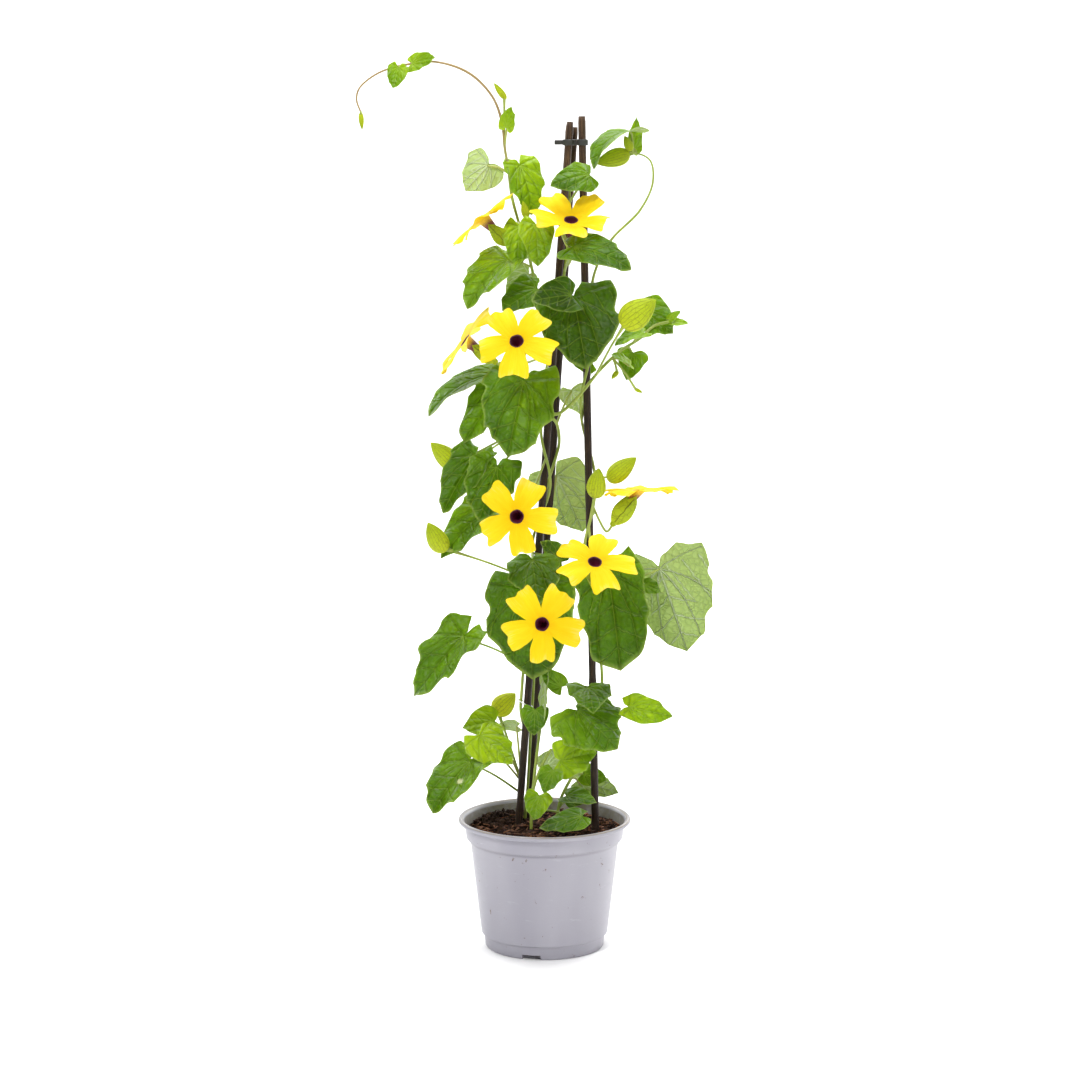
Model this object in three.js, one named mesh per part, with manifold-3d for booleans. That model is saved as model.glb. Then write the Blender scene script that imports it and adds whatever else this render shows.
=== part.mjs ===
// Black eyed susan vine (Thunbergia alata) in a 13 cm nursery pot, trained on three 60 cm canes.
// Millimetres, +Z up. The origin is the centre of the pot's underside, +X is right and +Y is the back.

import * as THREE from 'three';
import { mergeVertices } from 'three/addons/utils/BufferGeometryUtils.js';
import Module from 'manifold-3d';

const wasm = await Module();
wasm.setup();

// ---------------------------------------------------------------- driving dimensions

const GAP = 0.3; // clearance between two pieces that touch

const POT = { rimR: 65, height: 98.8, baseR: 44.7, floor: 2, facets: 28 };
const DRAIN = { count: 3, width: 14, height: 4, firstDeg: -102.8 };
const SOIL = { level: 89, edgeR: 58.8, facets: 16, lump: 1.2 };
const HEAP = { height: 3.5, x: -34, y: 26, r: 20 }; // the mix is heaped up at the back left

const CANE = { length: 600, r: 2.9, sides: 10 };
// Each cane's axis: where it enters the soil and where its top is.
const CANES = {
  cane_left: { soil: [-19.6, 11, 91], top: [18.5, 6, 618] },
  cane_right: { soil: [38.3, -6, 91], top: [27.1, 6, 622] },
  cane_back: { soil: [-12.2, 30, 91], top: [21.8, 15, 614] },
};
const CLIP = { z: 603, height: 4.4, ringR: 4.4, web: 2.4, tab: [8, 3, 3.4], tabOut: 6.5 };
const TIE = { z: 184, wireR: 0.5, tilt: 3, slack: 0.9 };

const STEM_R = 1.2; // a twining stem
const STEM_STEP = 12; // longest straight run of a stem
const STALK_R = 0.65; // a leaf or flower stalk
const BLADE = 0.6; // thickness of a leaf or petal
const TWINE_CLEAR = 0.9; // space between a cane and the stem wound round it

const BLOOM = { r: 31, eyeR: 5, tube: 22, tubeEndR: 1.9, cup: 2.4, facets: 6 };
const BRACT = { length: 21, spread: 7.5, seat: 2.8, foot: 2.3, wide: 0.3, bend: 35, fold: -22 };
const FLOWER_STALK = { straight: 8, sag: 2 }; // it leaves the seat straight, then sags to the stem
const POD = { belly: 1.25, taper: 0.6, flat: 3.6, stalkIn: 0.15 };
const FLAT_ENOUGH = 26; // a small leaf that bends less than this many degrees needs no inner ring

// ---------------------------------------------------------------- vectors and solids

const vec = (p) => new THREE.Vector3(p[0], p[1], p[2]);
const UP = new THREE.Vector3(0, 0, 1);

function positionsOnly(geometry) {
  const bare = geometry.clone();
  bare.deleteAttribute('normal');
  bare.deleteAttribute('uv');
  return mergeVertices(bare, 1e-4);
}

// A closed geometry as a solid. Triangles that have shrunk to a line at an axis are left out.
function solid(geometry) {
  const merged = positionsOnly(geometry);
  const index = merged.index.array;
  const kept = [];
  for (let i = 0; i < index.length; i += 3) {
    const [a, b, c] = [index[i], index[i + 1], index[i + 2]];
    if (a !== b && b !== c && c !== a) kept.push(a, b, c);
  }
  const mesh = new wasm.Mesh({
    numProp: 3,
    vertProperties: new Float32Array(merged.attributes.position.array),
    triVerts: new Uint32Array(kept),
  });
  return new wasm.Manifold(mesh);
}

const fuse = (solids) => solids.reduce((sum, next) => sum.add(next));

function geometryOf(body) {
  const { vertProperties, triVerts, numProp } = body.getMesh();
  const position = new Float32Array((vertProperties.length / numProp) * 3);
  for (let i = 0; i < position.length / 3; i++) {
    for (let k = 0; k < 3; k++) position[i * 3 + k] = vertProperties[i * numProp + k];
  }
  const geometry = new THREE.BufferGeometry();
  geometry.setAttribute('position', new THREE.BufferAttribute(position, 3));
  geometry.setIndex(Array.from(triVerts));
  return geometry;
}

function indexed(points, triangles) {
  const geometry = new THREE.BufferGeometry();
  const flat = points.flatMap((p) => [p.x, p.y, p.z]);
  geometry.setAttribute('position', new THREE.Float32BufferAttribute(flat, 3));
  geometry.setIndex(triangles.flat());
  return geometry;
}

function seeded(seed) {
  let state = seed * 7919 + 17;
  return () => {
    state = (state * 16807) % 2147483647;
    return state / 2147483647;
  };
}

const curveThrough = (points) => new THREE.CatmullRomCurve3(points.map(vec), false, 'centripetal');

const stepsAlong = (curve, step) => Math.max(3, Math.ceil(curve.getLength() / step));

// A tube of a regular polygon's section along a smooth curve.
function tube(points, radius, sides = 5, step = 14) {
  const curve = curveThrough(points);
  const section = new THREE.Shape();
  for (let i = 0; i < sides; i++) {
    const angle = (i / sides) * 2 * Math.PI;
    const [x, y] = [radius * Math.cos(angle), radius * Math.sin(angle)];
    if (i === 0) section.moveTo(x, y);
    else section.lineTo(x, y);
  }
  const steps = stepsAlong(curve, step);
  return solid(new THREE.ExtrudeGeometry(section, { extrudePath: curve, steps, bevelEnabled: false }));
}

// Turns a geometry whose length runs along +Y so that it runs from one point towards another.
function aimed(geometry, from, direction) {
  const turn = new THREE.Quaternion();
  turn.setFromUnitVectors(new THREE.Vector3(0, 1, 0), direction.clone().normalize());
  return geometry.applyQuaternion(turn).translate(from.x, from.y, from.z);
}

// ---------------------------------------------------------------- blades

// Half of a leaf's outline from the tip to the notch at its stalk, as shares of its length and half width.
const LEAF_HALF = [
  [0.84, 0.42], [0.62, 0.66], [0.42, 0.93], [0.2, 0.87], [0.03, 1], [-0.2, 0.72], [-0.18, 0.2],
];
const SMALL_HALF = [[0.76, 0.5], [0.42, 0.85], [0.02, 1], [-0.22, 0.5]];
const SMALL_LEAF = 34; // leaves shorter than this have the simpler outline
const LEAF_TIP = [1, 0];
const LEAF_NOTCH = [-0.03, 0];
const BRACT_HALF = [[0.75, 0.6], [0.35, 1], [0.02, 0.45]];

// A thin curved blade. Its outline runs in to the stalk's end, and both skins share one triangulation.
function blade(shape, half = LEAF_HALF, inner = 0.5, seed = 1) {
  const { at, tip, face, wide, bend, fold, twist = 0, blunt = 0 } = shape;
  const [start, end] = [vec(at), vec(tip)];
  const along = end.clone().sub(start);
  const chord = along.length();
  along.normalize();
  const normal = vec(face).addScaledVector(along, -vec(face).dot(along)).normalize();
  const across = normal.clone().cross(along);
  const arc = THREE.MathUtils.degToRad(bend) || 1e-3;
  const length = (chord * arc) / 2 / Math.sin(arc / 2);
  const lift = THREE.MathUtils.degToRad(fold);
  const turn = THREE.MathUtils.degToRad(twist);

  const place = (a, b) => {
    const slope = arc / 2 - arc * a;
    const reach = (length / arc) * (Math.sin(arc / 2) - Math.sin(slope));
    const rise = (length / arc) * (Math.cos(slope) - Math.cos(arc / 2));
    const tangent = along.clone().multiplyScalar(Math.cos(slope)).addScaledVector(normal, Math.sin(slope));
    const side = across.clone().applyAxisAngle(tangent, turn * Math.max(a, 0));
    const upward = tangent.clone().cross(side);
    const width = b * wide * length;
    return start.clone()
      .addScaledVector(along, reach)
      .addScaledVector(normal, rise)
      .addScaledVector(side, width * Math.cos(lift))
      .addScaledVector(upward, Math.abs(width) * Math.sin(lift));
  };
  const skinNormal = (a, b) => {
    const d = 0.02;
    const da = place(a + d, b).sub(place(a - d, b));
    const db = place(a, b + d).sub(place(a, b - d));
    return da.cross(db).normalize();
  };

  const random = seeded(seed);
  const uneven = (p, side) => {
    const grow = 1 + 0.1 * (random() - 0.5);
    const fuller = p[1] + blunt * Math.max(0, p[0] - 0.3);
    return [p[0] * grow, fuller * side * grow];
  };
  const left = half.map((p) => uneven(p, 1));
  const right = half.map((p) => uneven(p, -1)).reverse();
  const outline = [LEAF_TIP, ...left, LEAF_NOTCH, ...right];
  const count = outline.length;

  // The stalk's end, a ring of every other outline point half way out, then the outline.
  const flat = [[0, 0]];
  const ring = count / 2;
  outline.forEach(([a, b], i) => {
    if (inner && i % 2 === 0) flat.push([a * inner, b * inner]);
  });
  for (const [a, b] of outline) flat.push([a, b]);
  const rim = inner ? 1 + ring : 1;
  const skin = (offset) => flat.map(([a, b]) => place(a, b).addScaledVector(skinNormal(a, b), offset));
  const triangles = [];
  for (let i = 0; i < (inner ? ring : count); i++) {
    const [a, b] = [1 + i, 1 + ((i + 1) % (rim > 1 ? ring : count))];
    triangles.push([0, a, b]);
    if (!inner) continue;
    const [p, q, r] = [rim + 2 * i, rim + 2 * i + 1, rim + ((2 * i + 2) % count)];
    triangles.push([a, p, q], [a, q, b], [b, q, r]);
  }
  const lower = flat.length;
  const under = triangles.map(([a, b, c]) => [a + lower, c + lower, b + lower]);
  const edge = [];
  for (let i = 0; i < count; i++) {
    const next = (i + 1) % count;
    const [a, b] = [rim + i, rim + next];
    edge.push([a, a + lower, b + lower], [a, b + lower, b]);
  }
  return solid(indexed([...skin(BLADE / 2), ...skin(-BLADE / 2)], [...triangles, ...under, ...edge]));
}

// A closed pair of bracts round a bud: a flattened, pointed body with a ridge down each side.
function pod({ from, tip, face, width }) {
  const [base, end] = [vec(from), vec(tip)];
  const length = end.distanceTo(base);
  const along = end.clone().sub(base).normalize();
  const normal = vec(face).addScaledVector(along, -vec(face).dot(along)).normalize();
  const across = along.clone().cross(normal);
  const ball = new THREE.SphereGeometry(1, 6, 5);
  const position = ball.attributes.position;
  for (let i = 0; i < position.count; i++) {
    const p = new THREE.Vector3().fromBufferAttribute(position, i);
    const t = (1 + p.y) / 2;
    const taper = POD.belly - POD.taper * t;
    const placed = base.clone()
      .addScaledVector(along, length * t)
      .addScaledVector(across, (p.x * width * taper) / 2)
      .addScaledVector(normal, (p.z * width * taper) / POD.flat);
    position.setXYZ(i, placed.x, placed.y, placed.z);
  }
  return solid(ball);
}

// ---------------------------------------------------------------- blooms

// One petal's outer edge: angle from its middle in degrees, and radius as a fraction of the bloom's.
const PETAL_EDGE = [[-36, 0.43], [-24, 0.93], [2, 0.95], [24, 0.93]];
const PETALS = 5;

// The axes of a bloom: its face's normal, and the direction of its first petal in that face.
function bloomAxes({ face, spin }) {
  const normal = vec(face).normalize();
  const up = UP.clone().addScaledVector(normal, -UP.dot(normal)).normalize();
  const first = up.applyAxisAngle(normal, THREE.MathUtils.degToRad(-spin));
  return { normal, first, second: normal.clone().cross(first) };
}

// The five-lobed limb round the eye.
function limb(bloom, seed) {
  const { normal, first, second } = bloomAxes(bloom);
  const random = seeded(seed);
  const outline = [];
  for (let petal = 0; petal < PETALS; petal++) {
    const size = 0.95 + 0.09 * random();
    for (const [angle, radius] of PETAL_EDGE) {
      const degrees = (petal * 360) / PETALS + angle;
      outline.push({ angle: THREE.MathUtils.degToRad(degrees), radius: radius * BLOOM.r * size });
    }
  }
  const inner = BLOOM.eyeR + GAP;
  const rings = [0, 0.5, 1];
  const skin = (offset) => rings.flatMap((ring) => outline.map(({ angle, radius }) => {
    const reach = inner + (radius - inner) * ring;
    const height = BLOOM.cup * Math.sin(Math.PI * 0.8 * (reach / BLOOM.r)) + offset;
    return vec(bloom.eye)
      .addScaledVector(first, reach * Math.cos(angle))
      .addScaledVector(second, reach * Math.sin(angle))
      .addScaledVector(normal, height);
  }));
  const count = outline.length;
  const triangles = [];
  const lower = rings.length * count;
  const last = (rings.length - 1) * count;
  for (let i = 0; i < count; i++) {
    const next = (i + 1) % count;
    for (let ring = 0; ring < rings.length - 1; ring++) {
      const [a, b] = [ring * count, (ring + 1) * count];
      const face = [[a + i, b + i, b + next], [a + i, b + next, a + next]];
      triangles.push(...face, ...face.map(([p, q, r]) => [p + lower, r + lower, q + lower]));
    }
    const [a, b] = [last + i, last + next];
    triangles.push([a, a + lower, b + lower], [a, b + lower, b]);
    triangles.push([i, next + lower, i + lower], [i, next, next + lower]);
  }
  return indexed([...skin(BLADE / 2), ...skin(-BLADE / 2)], triangles);
}

// The dark funnel behind the eye, open at the front.
function throat(bloom) {
  const { normal, first, second } = bloomAxes(bloom);
  const tail = vec(bloom.tail).normalize();
  const lip = BLOOM.cup * Math.sin(Math.PI * 0.8 * (BLOOM.eyeR / BLOOM.r)) + BLADE / 2;
  const { tube: tubeLong = BLOOM.tube } = bloom;
  const profile = [
    [0, -tubeLong], [BLOOM.tubeEndR, -tubeLong], [3.4, -8], [BLOOM.eyeR, lip], [BLOOM.eyeR - 0.7, lip],
    [2.6, -8], [0, -15],
  ];
  const lathe = new THREE.LatheGeometry(profile.map(([r, y]) => new THREE.Vector2(r, y)), BLOOM.facets);
  const position = lathe.attributes.position;
  for (let i = 0; i < position.count; i++) {
    const [x, depth, z] = [position.getX(i), position.getY(i), position.getZ(i)];
    const centre = depth < 0 ? tail.clone().multiplyScalar(-depth) : normal.clone().multiplyScalar(depth);
    const p = centre.add(vec(bloom.eye)).addScaledVector(second, x).addScaledVector(first, z);
    position.setXYZ(i, p.x, p.y, p.z);
  }
  return geometryOf(solid(lathe));
}

// The green seat behind the tube, its two bracts and the flower stalk.
function bloomSeat(bloom, root) {
  const tail = vec(bloom.tail).normalize();
  const { tube: tubeLong = BLOOM.tube, bract = BRACT.length } = bloom;
  const seat = vec(bloom.eye).addScaledVector(tail, tubeLong + GAP + BRACT.seat);
  const ball = new THREE.SphereGeometry(BRACT.seat, 5, 3).translate(seat.x, seat.y, seat.z);
  const pieces = [solid(ball)];
  const across = tail.clone().cross(UP).normalize();
  for (const side of [1, -1]) {
    const out = across.clone().multiplyScalar(side);
    const from = seat.clone().addScaledVector(out, BRACT.foot);
    const tip = seat.clone().addScaledVector(tail, -bract).addScaledVector(out, BRACT.spread);
    const { wide, bend, fold } = BRACT;
    const shape = { at: from.toArray(), tip: tip.toArray(), face: out.toArray(), wide, bend, fold };
    pieces.push(blade(shape, BRACT_HALF, 0, 3));
  }
  const back = seat.clone().addScaledVector(tail, FLOWER_STALK.straight);
  const middle = root.clone().lerp(back, 0.5).addScaledVector(UP, -FLOWER_STALK.sag);
  pieces.push(tube([root.toArray(), middle.toArray(), back.toArray(), seat.toArray()], STALK_R, 3, 16));
  return fuse(pieces);
}

// ---------------------------------------------------------------- canes and twining

const slope = (cane) => vec(cane.top).sub(vec(cane.soil)).normalize();

// The point on a cane's axis at a height.
function caneAt(cane, z) {
  const direction = slope(cane);
  return vec(cane.soil).addScaledVector(direction, (z - cane.soil[2]) / direction.z);
}

// Points of a stem wound round a cane. Angles are in degrees from +X, rising from the right to the back.
function twine(name, fromZ, toZ, fromDeg, toDeg) {
  const turns = Math.max(2, Math.ceil(Math.abs(toDeg - fromDeg) / 30), Math.ceil((toZ - fromZ) / 20));
  const clear = CANE.r + STEM_R + TWINE_CLEAR;
  return Array.from({ length: turns + 1 }, (_, i) => {
    const t = i / turns;
    const angle = THREE.MathUtils.degToRad(fromDeg + (toDeg - fromDeg) * t);
    const axis = caneAt(CANES[name], fromZ + (toZ - fromZ) * t);
    return [axis.x + clear * Math.cos(angle), axis.y + clear * Math.sin(angle), axis.z];
  });
}

function caneSolid(cane, extra = 0) {
  const direction = slope(cane);
  const middle = vec(cane.top).addScaledVector(direction, -CANE.length / 2 - extra);
  const radius = CANE.r + extra;
  const rod = new THREE.CylinderGeometry(radius, radius, CANE.length + extra, CANE.sides);
  return solid(aimed(rod, middle, direction));
}

// ---------------------------------------------------------------- the plant's places

// Leaf rows: near which stem point it grows, stalk end, tip, face, half width over length, bend, fold,
// twist and, for a blunt one, how much fuller its end is.
// Pod rows: near which stem point it grows, base, tip, face, width.
const SHOOTS = {
  stem_left: {
    stems: [[[-21.8, 16.4, 60], [-19.7, 16.1, 90], ...twine('cane_left', 108, 150, 90, 90),
      ...twine('cane_left', 162, 182, 92, 176), ...twine('cane_left', 190, 205, 180, 180),
      ...twine('cane_left', 225, 395, 135, -540)]],
    leaves: [
      [[-20, 8, 214], [-60, -22, 241], [-96, -36, 198], [-0.35, -0.7, 0.6], 0.36, 20, 18, 0],
      [[-4, 8, 262], [-11, -24, 276], [-9, -34, 211], [-0.1, -1, 0.15], 0.54, 15, 4, 0],
      [[-12, 8, 298], [-9, -28, 299], [-5, -54, 269], [0, -0.55, 0.8], 0.5, 30, -8, 0],
      [[-12, 8, 298], [12, -8, 295], [-3, -14, 311], [0.1, -0.8, 0.6], 0.5, 20, 8, 0],
      [[-10, 8, 330], [-42, 4, 334], [-77, -14, 298], [-0.5, -0.8, 0.35], 0.34, 25, 12, 0],
    ],
    pods: [[[-5, 4, 276], [-74, -16, 303], [-86, -20, 326], [-0.3, -1, 0.2], 16]],
    blooms: ['bloom_5', 'bloom_7'],
  },
  stem_back: {
    stems: [[[-16, 20, 60], [-15, 20, 90], [-13, 19, 115], [-11, 18, 150], [-9, 18, 185],
      ...twine('cane_back', 225, 380, -120, 330), [9, 8, 396], [3, -1, 405],
      ...twine('cane_left', 430, 575, -150, 60)]],
    leaves: [
      [[3, -1, 402], [-51, -16, 374], [-75, -34, 335], [-0.35, -0.8, 0.5], 0.36, 20, 16, 0],
      [[3, -1, 400], [-35, -28, 368], [-48, -44, 330], [-0.2, -0.9, 0.3], 0.5, 15, 14, 0],
      [[3, -1, 405], [-15, -28, 431], [-27, -48, 378], [-0.15, -0.95, 0.3], 0.52, 15, 6, 0],
      [[1, 0, 412], [-32, -2, 424], [-59, -14, 384], [-0.4, -0.8, 0.4], 0.38, 20, 10, 0],
      [[0, 1, 418], [-33, 4, 433], [-86, -8, 403], [-0.25, -0.25, 0.93], 0.3, 60, 10, 0],
      [[6, 28, 300], [9, 36, 353], [29, 38, 310], [0.1, 0.95, 0.2], 0.52, 10, 4, 0],
      [[9, 8, 396], [20, 12, 420], [28, 22, 401], [0.1, 0.9, 0.2], 0.5, 10, 6, 0],
      [[8, 1, 480], [21, -20, 491], [30, -42, 441], [0.12, -0.9, 0.4], 0.58, 18, 6, 0],
      [[10, 1, 484], [19, -32, 494], [-9, -46, 491], [-0.1, -0.9, 0.45], 0.5, 15, 10, 0],
      [[8, 2, 482], [-6, -12, 497], [-31, -24, 482], [-0.2, -0.8, 0.5], 0.5, 20, 8, 0],
      [[14, 2, 510], [21, -44, 529], [62, -52, 513], [0.15, -0.6, 0.8], 0.4, 45, 6, 0],
      [[18, 8, 560], [32, -14, 580], [4, -24, 572], [-0.1, -0.9, 0.45], 0.42, 45, -8, 0],
    ],
    pods: [[[3, -1, 396], [-63, -6, 364], [-84, -10, 384], [-0.3, -1, 0.2], 16]],
    blooms: ['bloom_1', 'bloom_3', 'bloom_4'],
  },
  stem_right: {
    stems: [[[7, -11, 60], [8, -11, 90], [12, -9, 114], [20, -10, 131], [30, -13, 150], [40, -13, 176],
      [43, -4, 202], ...twine('cane_right', 240, 440, 0, 643)]],
    leaves: [
      [[20, -10, 131], [12, -20, 147], [39, -30, 155], [-0.1, -0.9, 0.4], 0.52, 12, 8, 0],
      [[20, -10, 131], [30, 8, 130], [47, 5, 126], [0.1, -0.9, 0.3], 0.5, 10, 6, 0],
      [[20, -10, 131], [27, 26, 120], [57, 22, 112], [0, 0.9, 0.5], 0.42, 10, 6, 0],
      [[40, -13, 172], [63, -20, 187], [95, -26, 181], [0.1, -0.75, 0.65], 0.36, 10, 12, 60],
      [[36, -13, 165], [25, -28, 186], [54, -46, 161], [0.25, -0.75, 0.65], 0.68, 18, -6, 0],
      [[40, -12, 178], [32, -20, 202], [36, -46, 188], [0.1, -0.5, 0.85], 0.58, 20, 10, 0],
      [[33, -6, 318], [47, -18, 288], [56, -38, 218], [0.1, -1, 0.25], 0.37, 12, 6, 0, 0.6],
      [[36, 4, 262], [86, 14, 286], [107, 8, 224], [0.2, 0.97, 0.15], 0.58, 8, 6, 0],
      [[36, 4, 262], [75, 2, 276], [87, -4, 271], [0.1, -0.9, 0.4], 0.45, 10, 6, 0],
      [[28, 4, 400], [35, 10, 441], [16, 10, 446], [-0.1, -0.9, 0.3], 0.45, 20, 6, 0],
      [[11, -9, 108], [17, -13, 118], [39, -24, 115], [0.1, -0.5, 0.85], 0.42, 25, 8, 0],
      [[11, -9, 108], [19, 8, 111], [36, 6, 113], [0, -0.85, 0.5], 0.46, 15, 8, 0],
    ],
    pods: [
      [[37, 2, 353], [47, 2, 354], [68, -2, 372], [0.1, -1, 0.3], 15],
      [[36, 0, 324], [37, -14, 343], [40, -17, 366], [-0.3, -1, 0.1], 15],
    ],
    blooms: ['bloom_6', 'bloom_8'],
  },
  shoot_low_left: {
    stems: [[[-20.5, 19.5, 60], [-19.8, 19.2, 90], [-18.4, 18.8, 108], [-17.6, 18.6, 122]]],
    leaves: [
      [[-18.2, 18.8, 112], [-56, -12, 144], [-84, -30, 109], [-0.4, -0.7, 0.6], 0.44, 25, 12, 0],
      [[-17.6, 18.6, 122], [-48, -8, 163], [-24, -18, 143], [0, -0.65, 0.75], 0.56, 15, -8, 0],
      [[-17.6, 18.6, 122], [-38, 14, 169], [-62, 6, 166], [0, -0.75, 0.65], 0.55, 15, 8, 0],
      [[-17.6, 18.6, 122], [-21, 20, 164], [-36, 26, 163], [0, 0.85, 0.5], 0.4, 10, 6, 0],
    ],
    pods: [[[-17.6, 18.6, 122], [-38, 24, 173], [-22, 28, 188], [0, -1, 0.2], 17]],
    blooms: [],
  },
  shoot_low_middle: {
    stems: [[[-10, -2, 60], [-10, -2, 90], [-9, -2, 117], [-3, -4, 137], [5, -4, 152]],
      [[-9, -2, 117], [-6, 0, 145], [-2, 2, 175], [3, 0, 205]]],
    leaves: [
      [[-8, 0, 160], [-7, -6, 182], [-8, -12, 164], [-0.2, -0.9, 0.3], 0.58, 12, 6, 0],
      [[3, 0, 205], [1, -6, 206], [0, -10, 172], [-0.95, -0.3, 0], 0.3, 8, 12, 0],
      [[3, 0, 205], [12, -10, 201], [-3, -12, 214], [-0.3, -0.7, 0.6], 0.4, 20, 6, 0],
      [[-3, -4, 137], [6, -34, 142], [-1, -42, 127], [-0.1, -0.8, 0.5], 0.5, 15, 8, 0],
      [[-9, -2, 112], [-4, -30, 122], [-8, -40, 106], [0, -0.8, 0.5], 0.55, 15, 10, 0],
      [[-9, -2, 106], [27, -40, 109], [-4, -44, 101], [0, -0.45, 0.9], 0.4, 15, -8, 0],
      [[-3, -4, 137], [1, 8, 136], [12, 8, 150], [0.1, 0.9, 0.4], 0.5, 10, 6, 0],
    ],
    pods: [],
    blooms: [],
  },
  shoot_upper_right: {
    stems: [[[4.1, -2, 404.6], [10, -7, 405], [22, -10, 415], [41, -11, 438], [55, -8, 451], [70, -2, 460],
      [81, 4, 469], [92, 4, 472]]],
    leaves: [
      [[70, -2, 460], [73, 12, 479], [95, 6, 463], [0.2, -0.85, 0.4], 0.6, 15, 8, 0],
      [[64, -4, 456], [72, -10, 465], [51, -20, 456], [-0.2, -0.5, 0.85], 0.38, 40, 10, 0],
      [[60, -6, 454], [65, -2, 449], [60, -10, 430], [0.1, -0.8, 0.4], 0.55, 20, 8, 0],
      [[50, -9, 446], [62, -18, 443], [48, -26, 450], [0, -0.5, 0.85], 0.4, 30, 8, 0],
      [[91, 4, 472], [92, 4, 474], [100, 2, 480], [-0.4, -0.8, 0.4], 0.35, 10, 10, 0],
      [[92, 4, 472], [94, 4, 472], [106, 2, 471], [0, -0.8, 0.6], 0.3, 10, 10, 0],
    ],
    pods: [
      [[38, -11, 434], [55, -46, 473], [80, -50, 492], [0.2, -0.9, 0.4], 22],
      [[50, -9, 446], [54, -10, 437], [49, -12, 431], [0, -0.9, 0.4], 4],
      [[50, -9, 446], [66, -12, 424], [72, -12, 421], [0, -0.9, 0.4], 3],
    ],
    blooms: [],
  },
  shoot_upper_left: {
    stems: [[[2.2, 3.2, 457], [-2, 2, 478], [-8, 3, 505], [-13, 4, 526], [-19, 2, 545], [-24, 2, 564],
      [-27, 2, 587], [-29, 2, 598], [-31, 0, 617], [-38, -3, 636], [-55, -4, 653], [-79, -6, 661],
      [-101, -2, 659], [-121, 0, 653], [-135, 2, 642], [-137, 2, 634], [-134, 0, 625]]],
    leaves: [
      [[-9, 4, 512], [-27, -8, 518], [-57, -30, 484], [-0.35, -0.55, 0.75], 0.42, 40, 12, 0],
      [[-7, 5, 505], [-12, 18, 506], [-29, 20, 492], [0, 0.9, 0.4], 0.5, 10, 6, 0],
      [[-19, 2, 545], [-18, -9, 542], [-20, -20, 513], [-0.2, -0.9, 0.2], 0.42, 15, 8, 0],
      [[-16, 3, 537], [-6, -18, 544], [-5, -28, 514], [0.05, -0.9, 0.45], 0.42, 20, 8, 0],
      [[-26, 2, 580], [-41, 4, 587], [-58, 0, 568], [0.3, 0.85, 0.4], 0.6, 10, 6, 0],
      [[-25, 2, 575], [-18, 4, 586], [-9, 0, 550], [0.45, -0.8, 0.4], 0.42, 40, 4, 0],
      [[-81, -6, 659], [-96, -4, 660], [-79, -12, 664], [0, -0.85, 0.5], 0.42, 8, 8, 0],
      [[-101, -2, 658], [-106, -6, 657], [-110, -8, 642], [-0.1, -0.9, 0.2], 0.5, 12, 6, 0],
      [[-30, 2, 601], [-28, -4, 614], [-24, -6, 629], [-0.3, -0.9, 0.2], 0.42, 10, 8, 0],
    ],
    pods: [
      [[-17, 2, 538], [-13, -5, 548], [-16, -8, 561], [0, -1, 0], 6],
      [[-30, 2, 602], [-28, -2, 634], [-37, -4, 646], [0, -1, 0], 5],
      [[-134, 0, 625], [-134, 0, 625], [-133, 0, 612], [0, -1, 0], 4],
    ],
    blooms: ['bloom_2'],
  },
  shoot_top_right: {
    stems: [[...twine('cane_right', 441, 485, 646, 800), [34, 12, 495], [38, 11, 511], [49, 6, 532],
      [70, 2, 554], [79, 0, 574], [77, 0, 590], [67, 0, 595], [58, -2, 592]]],
    leaves: [
      [[64, 0, 595], [62, -4, 611], [35, -20, 584], [-0.6, -0.3, 0.75], 0.4, 80, 8, 0],
      [[67, 0, 595], [65, 3, 598], [67, 1, 622], [0.3, -0.9, 0.2], 0.26, 15, 8, 0],
    ],
    pods: [
      [[67, 0, 595], [62, -2, 595], [37, -8, 588], [0.1, -1, 0.2], 14],
      [[64, 0, 595], [63, -3, 597], [58, -6, 608], [0.2, -1, 0], 7],
    ],
    blooms: [],
  },
};

// Blooms: centre of the eye, face, way the tube runs, turn of the first petal, near which stem point
// it grows and, where they differ from BLOOM and BRACT, the lengths of its tube and bracts.
const BLOOMS = {
  bloom_1: {
    eye: [19, -24, 547], face: [0.05, -0.5, 0.87], tail: [0, 0.5, -0.87],
    spin: 44, root: [15, 2, 515],
  },
  bloom_2: {
    eye: [-44, -6, 547], face: [-0.66, 0.08, 0.75], tail: [0.7, -0.02, -0.7],
    spin: 20, root: [-14, 3, 530],
  },
  bloom_3: {
    eye: [-20, -66, 463], face: [-0.1, -0.8, 0.5], tail: [0.1, 0.8, -0.5],
    spin: -34, root: [3, 1, 450],
  },
  bloom_4: {
    eye: [-57, -26, 460], face: [-0.8, -0.1, 0.58], tail: [0.8, 0.1, -0.58],
    spin: 10, root: [1, 2, 428],
  },
  bloom_5: {
    eye: [-20, -68, 337], face: [-0.1, -0.97, 0.2], tail: [0.1, 0.97, -0.1],
    spin: 25, root: [-3, 2, 370],
  },
  bloom_6: {
    eye: [36, -72, 304], face: [0.12, -0.6, 0.79], tail: [0, 0.65, -0.76],
    spin: 26, root: [34, -6, 322],
  },
  bloom_7: {
    eye: [-2, -76, 260], face: [0.05, -0.99, 0.1], tail: [0.1, 0.98, -0.2],
    spin: 33, root: [-5, 3, 272],
  },
  bloom_8: {
    eye: [70, 0, 346], face: [-0.03, 0.05, 0.99], tail: [-0.62, 0, -0.78],
    spin: 0, root: [37, -3, 334], tube: 27, bract: 27,
  },
};

// ---------------------------------------------------------------- leafy stems

// The stem joint nearest to a given point on any of a shoot's stems.
function nearest(curves, point) {
  let best = null;
  for (const curve of curves) {
    for (const p of curve.getSpacedPoints(stepsAlong(curve, STEM_STEP))) {
      if (!best || p.distanceTo(point) < best.distanceTo(point)) best = p;
    }
  }
  return best;
}

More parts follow.
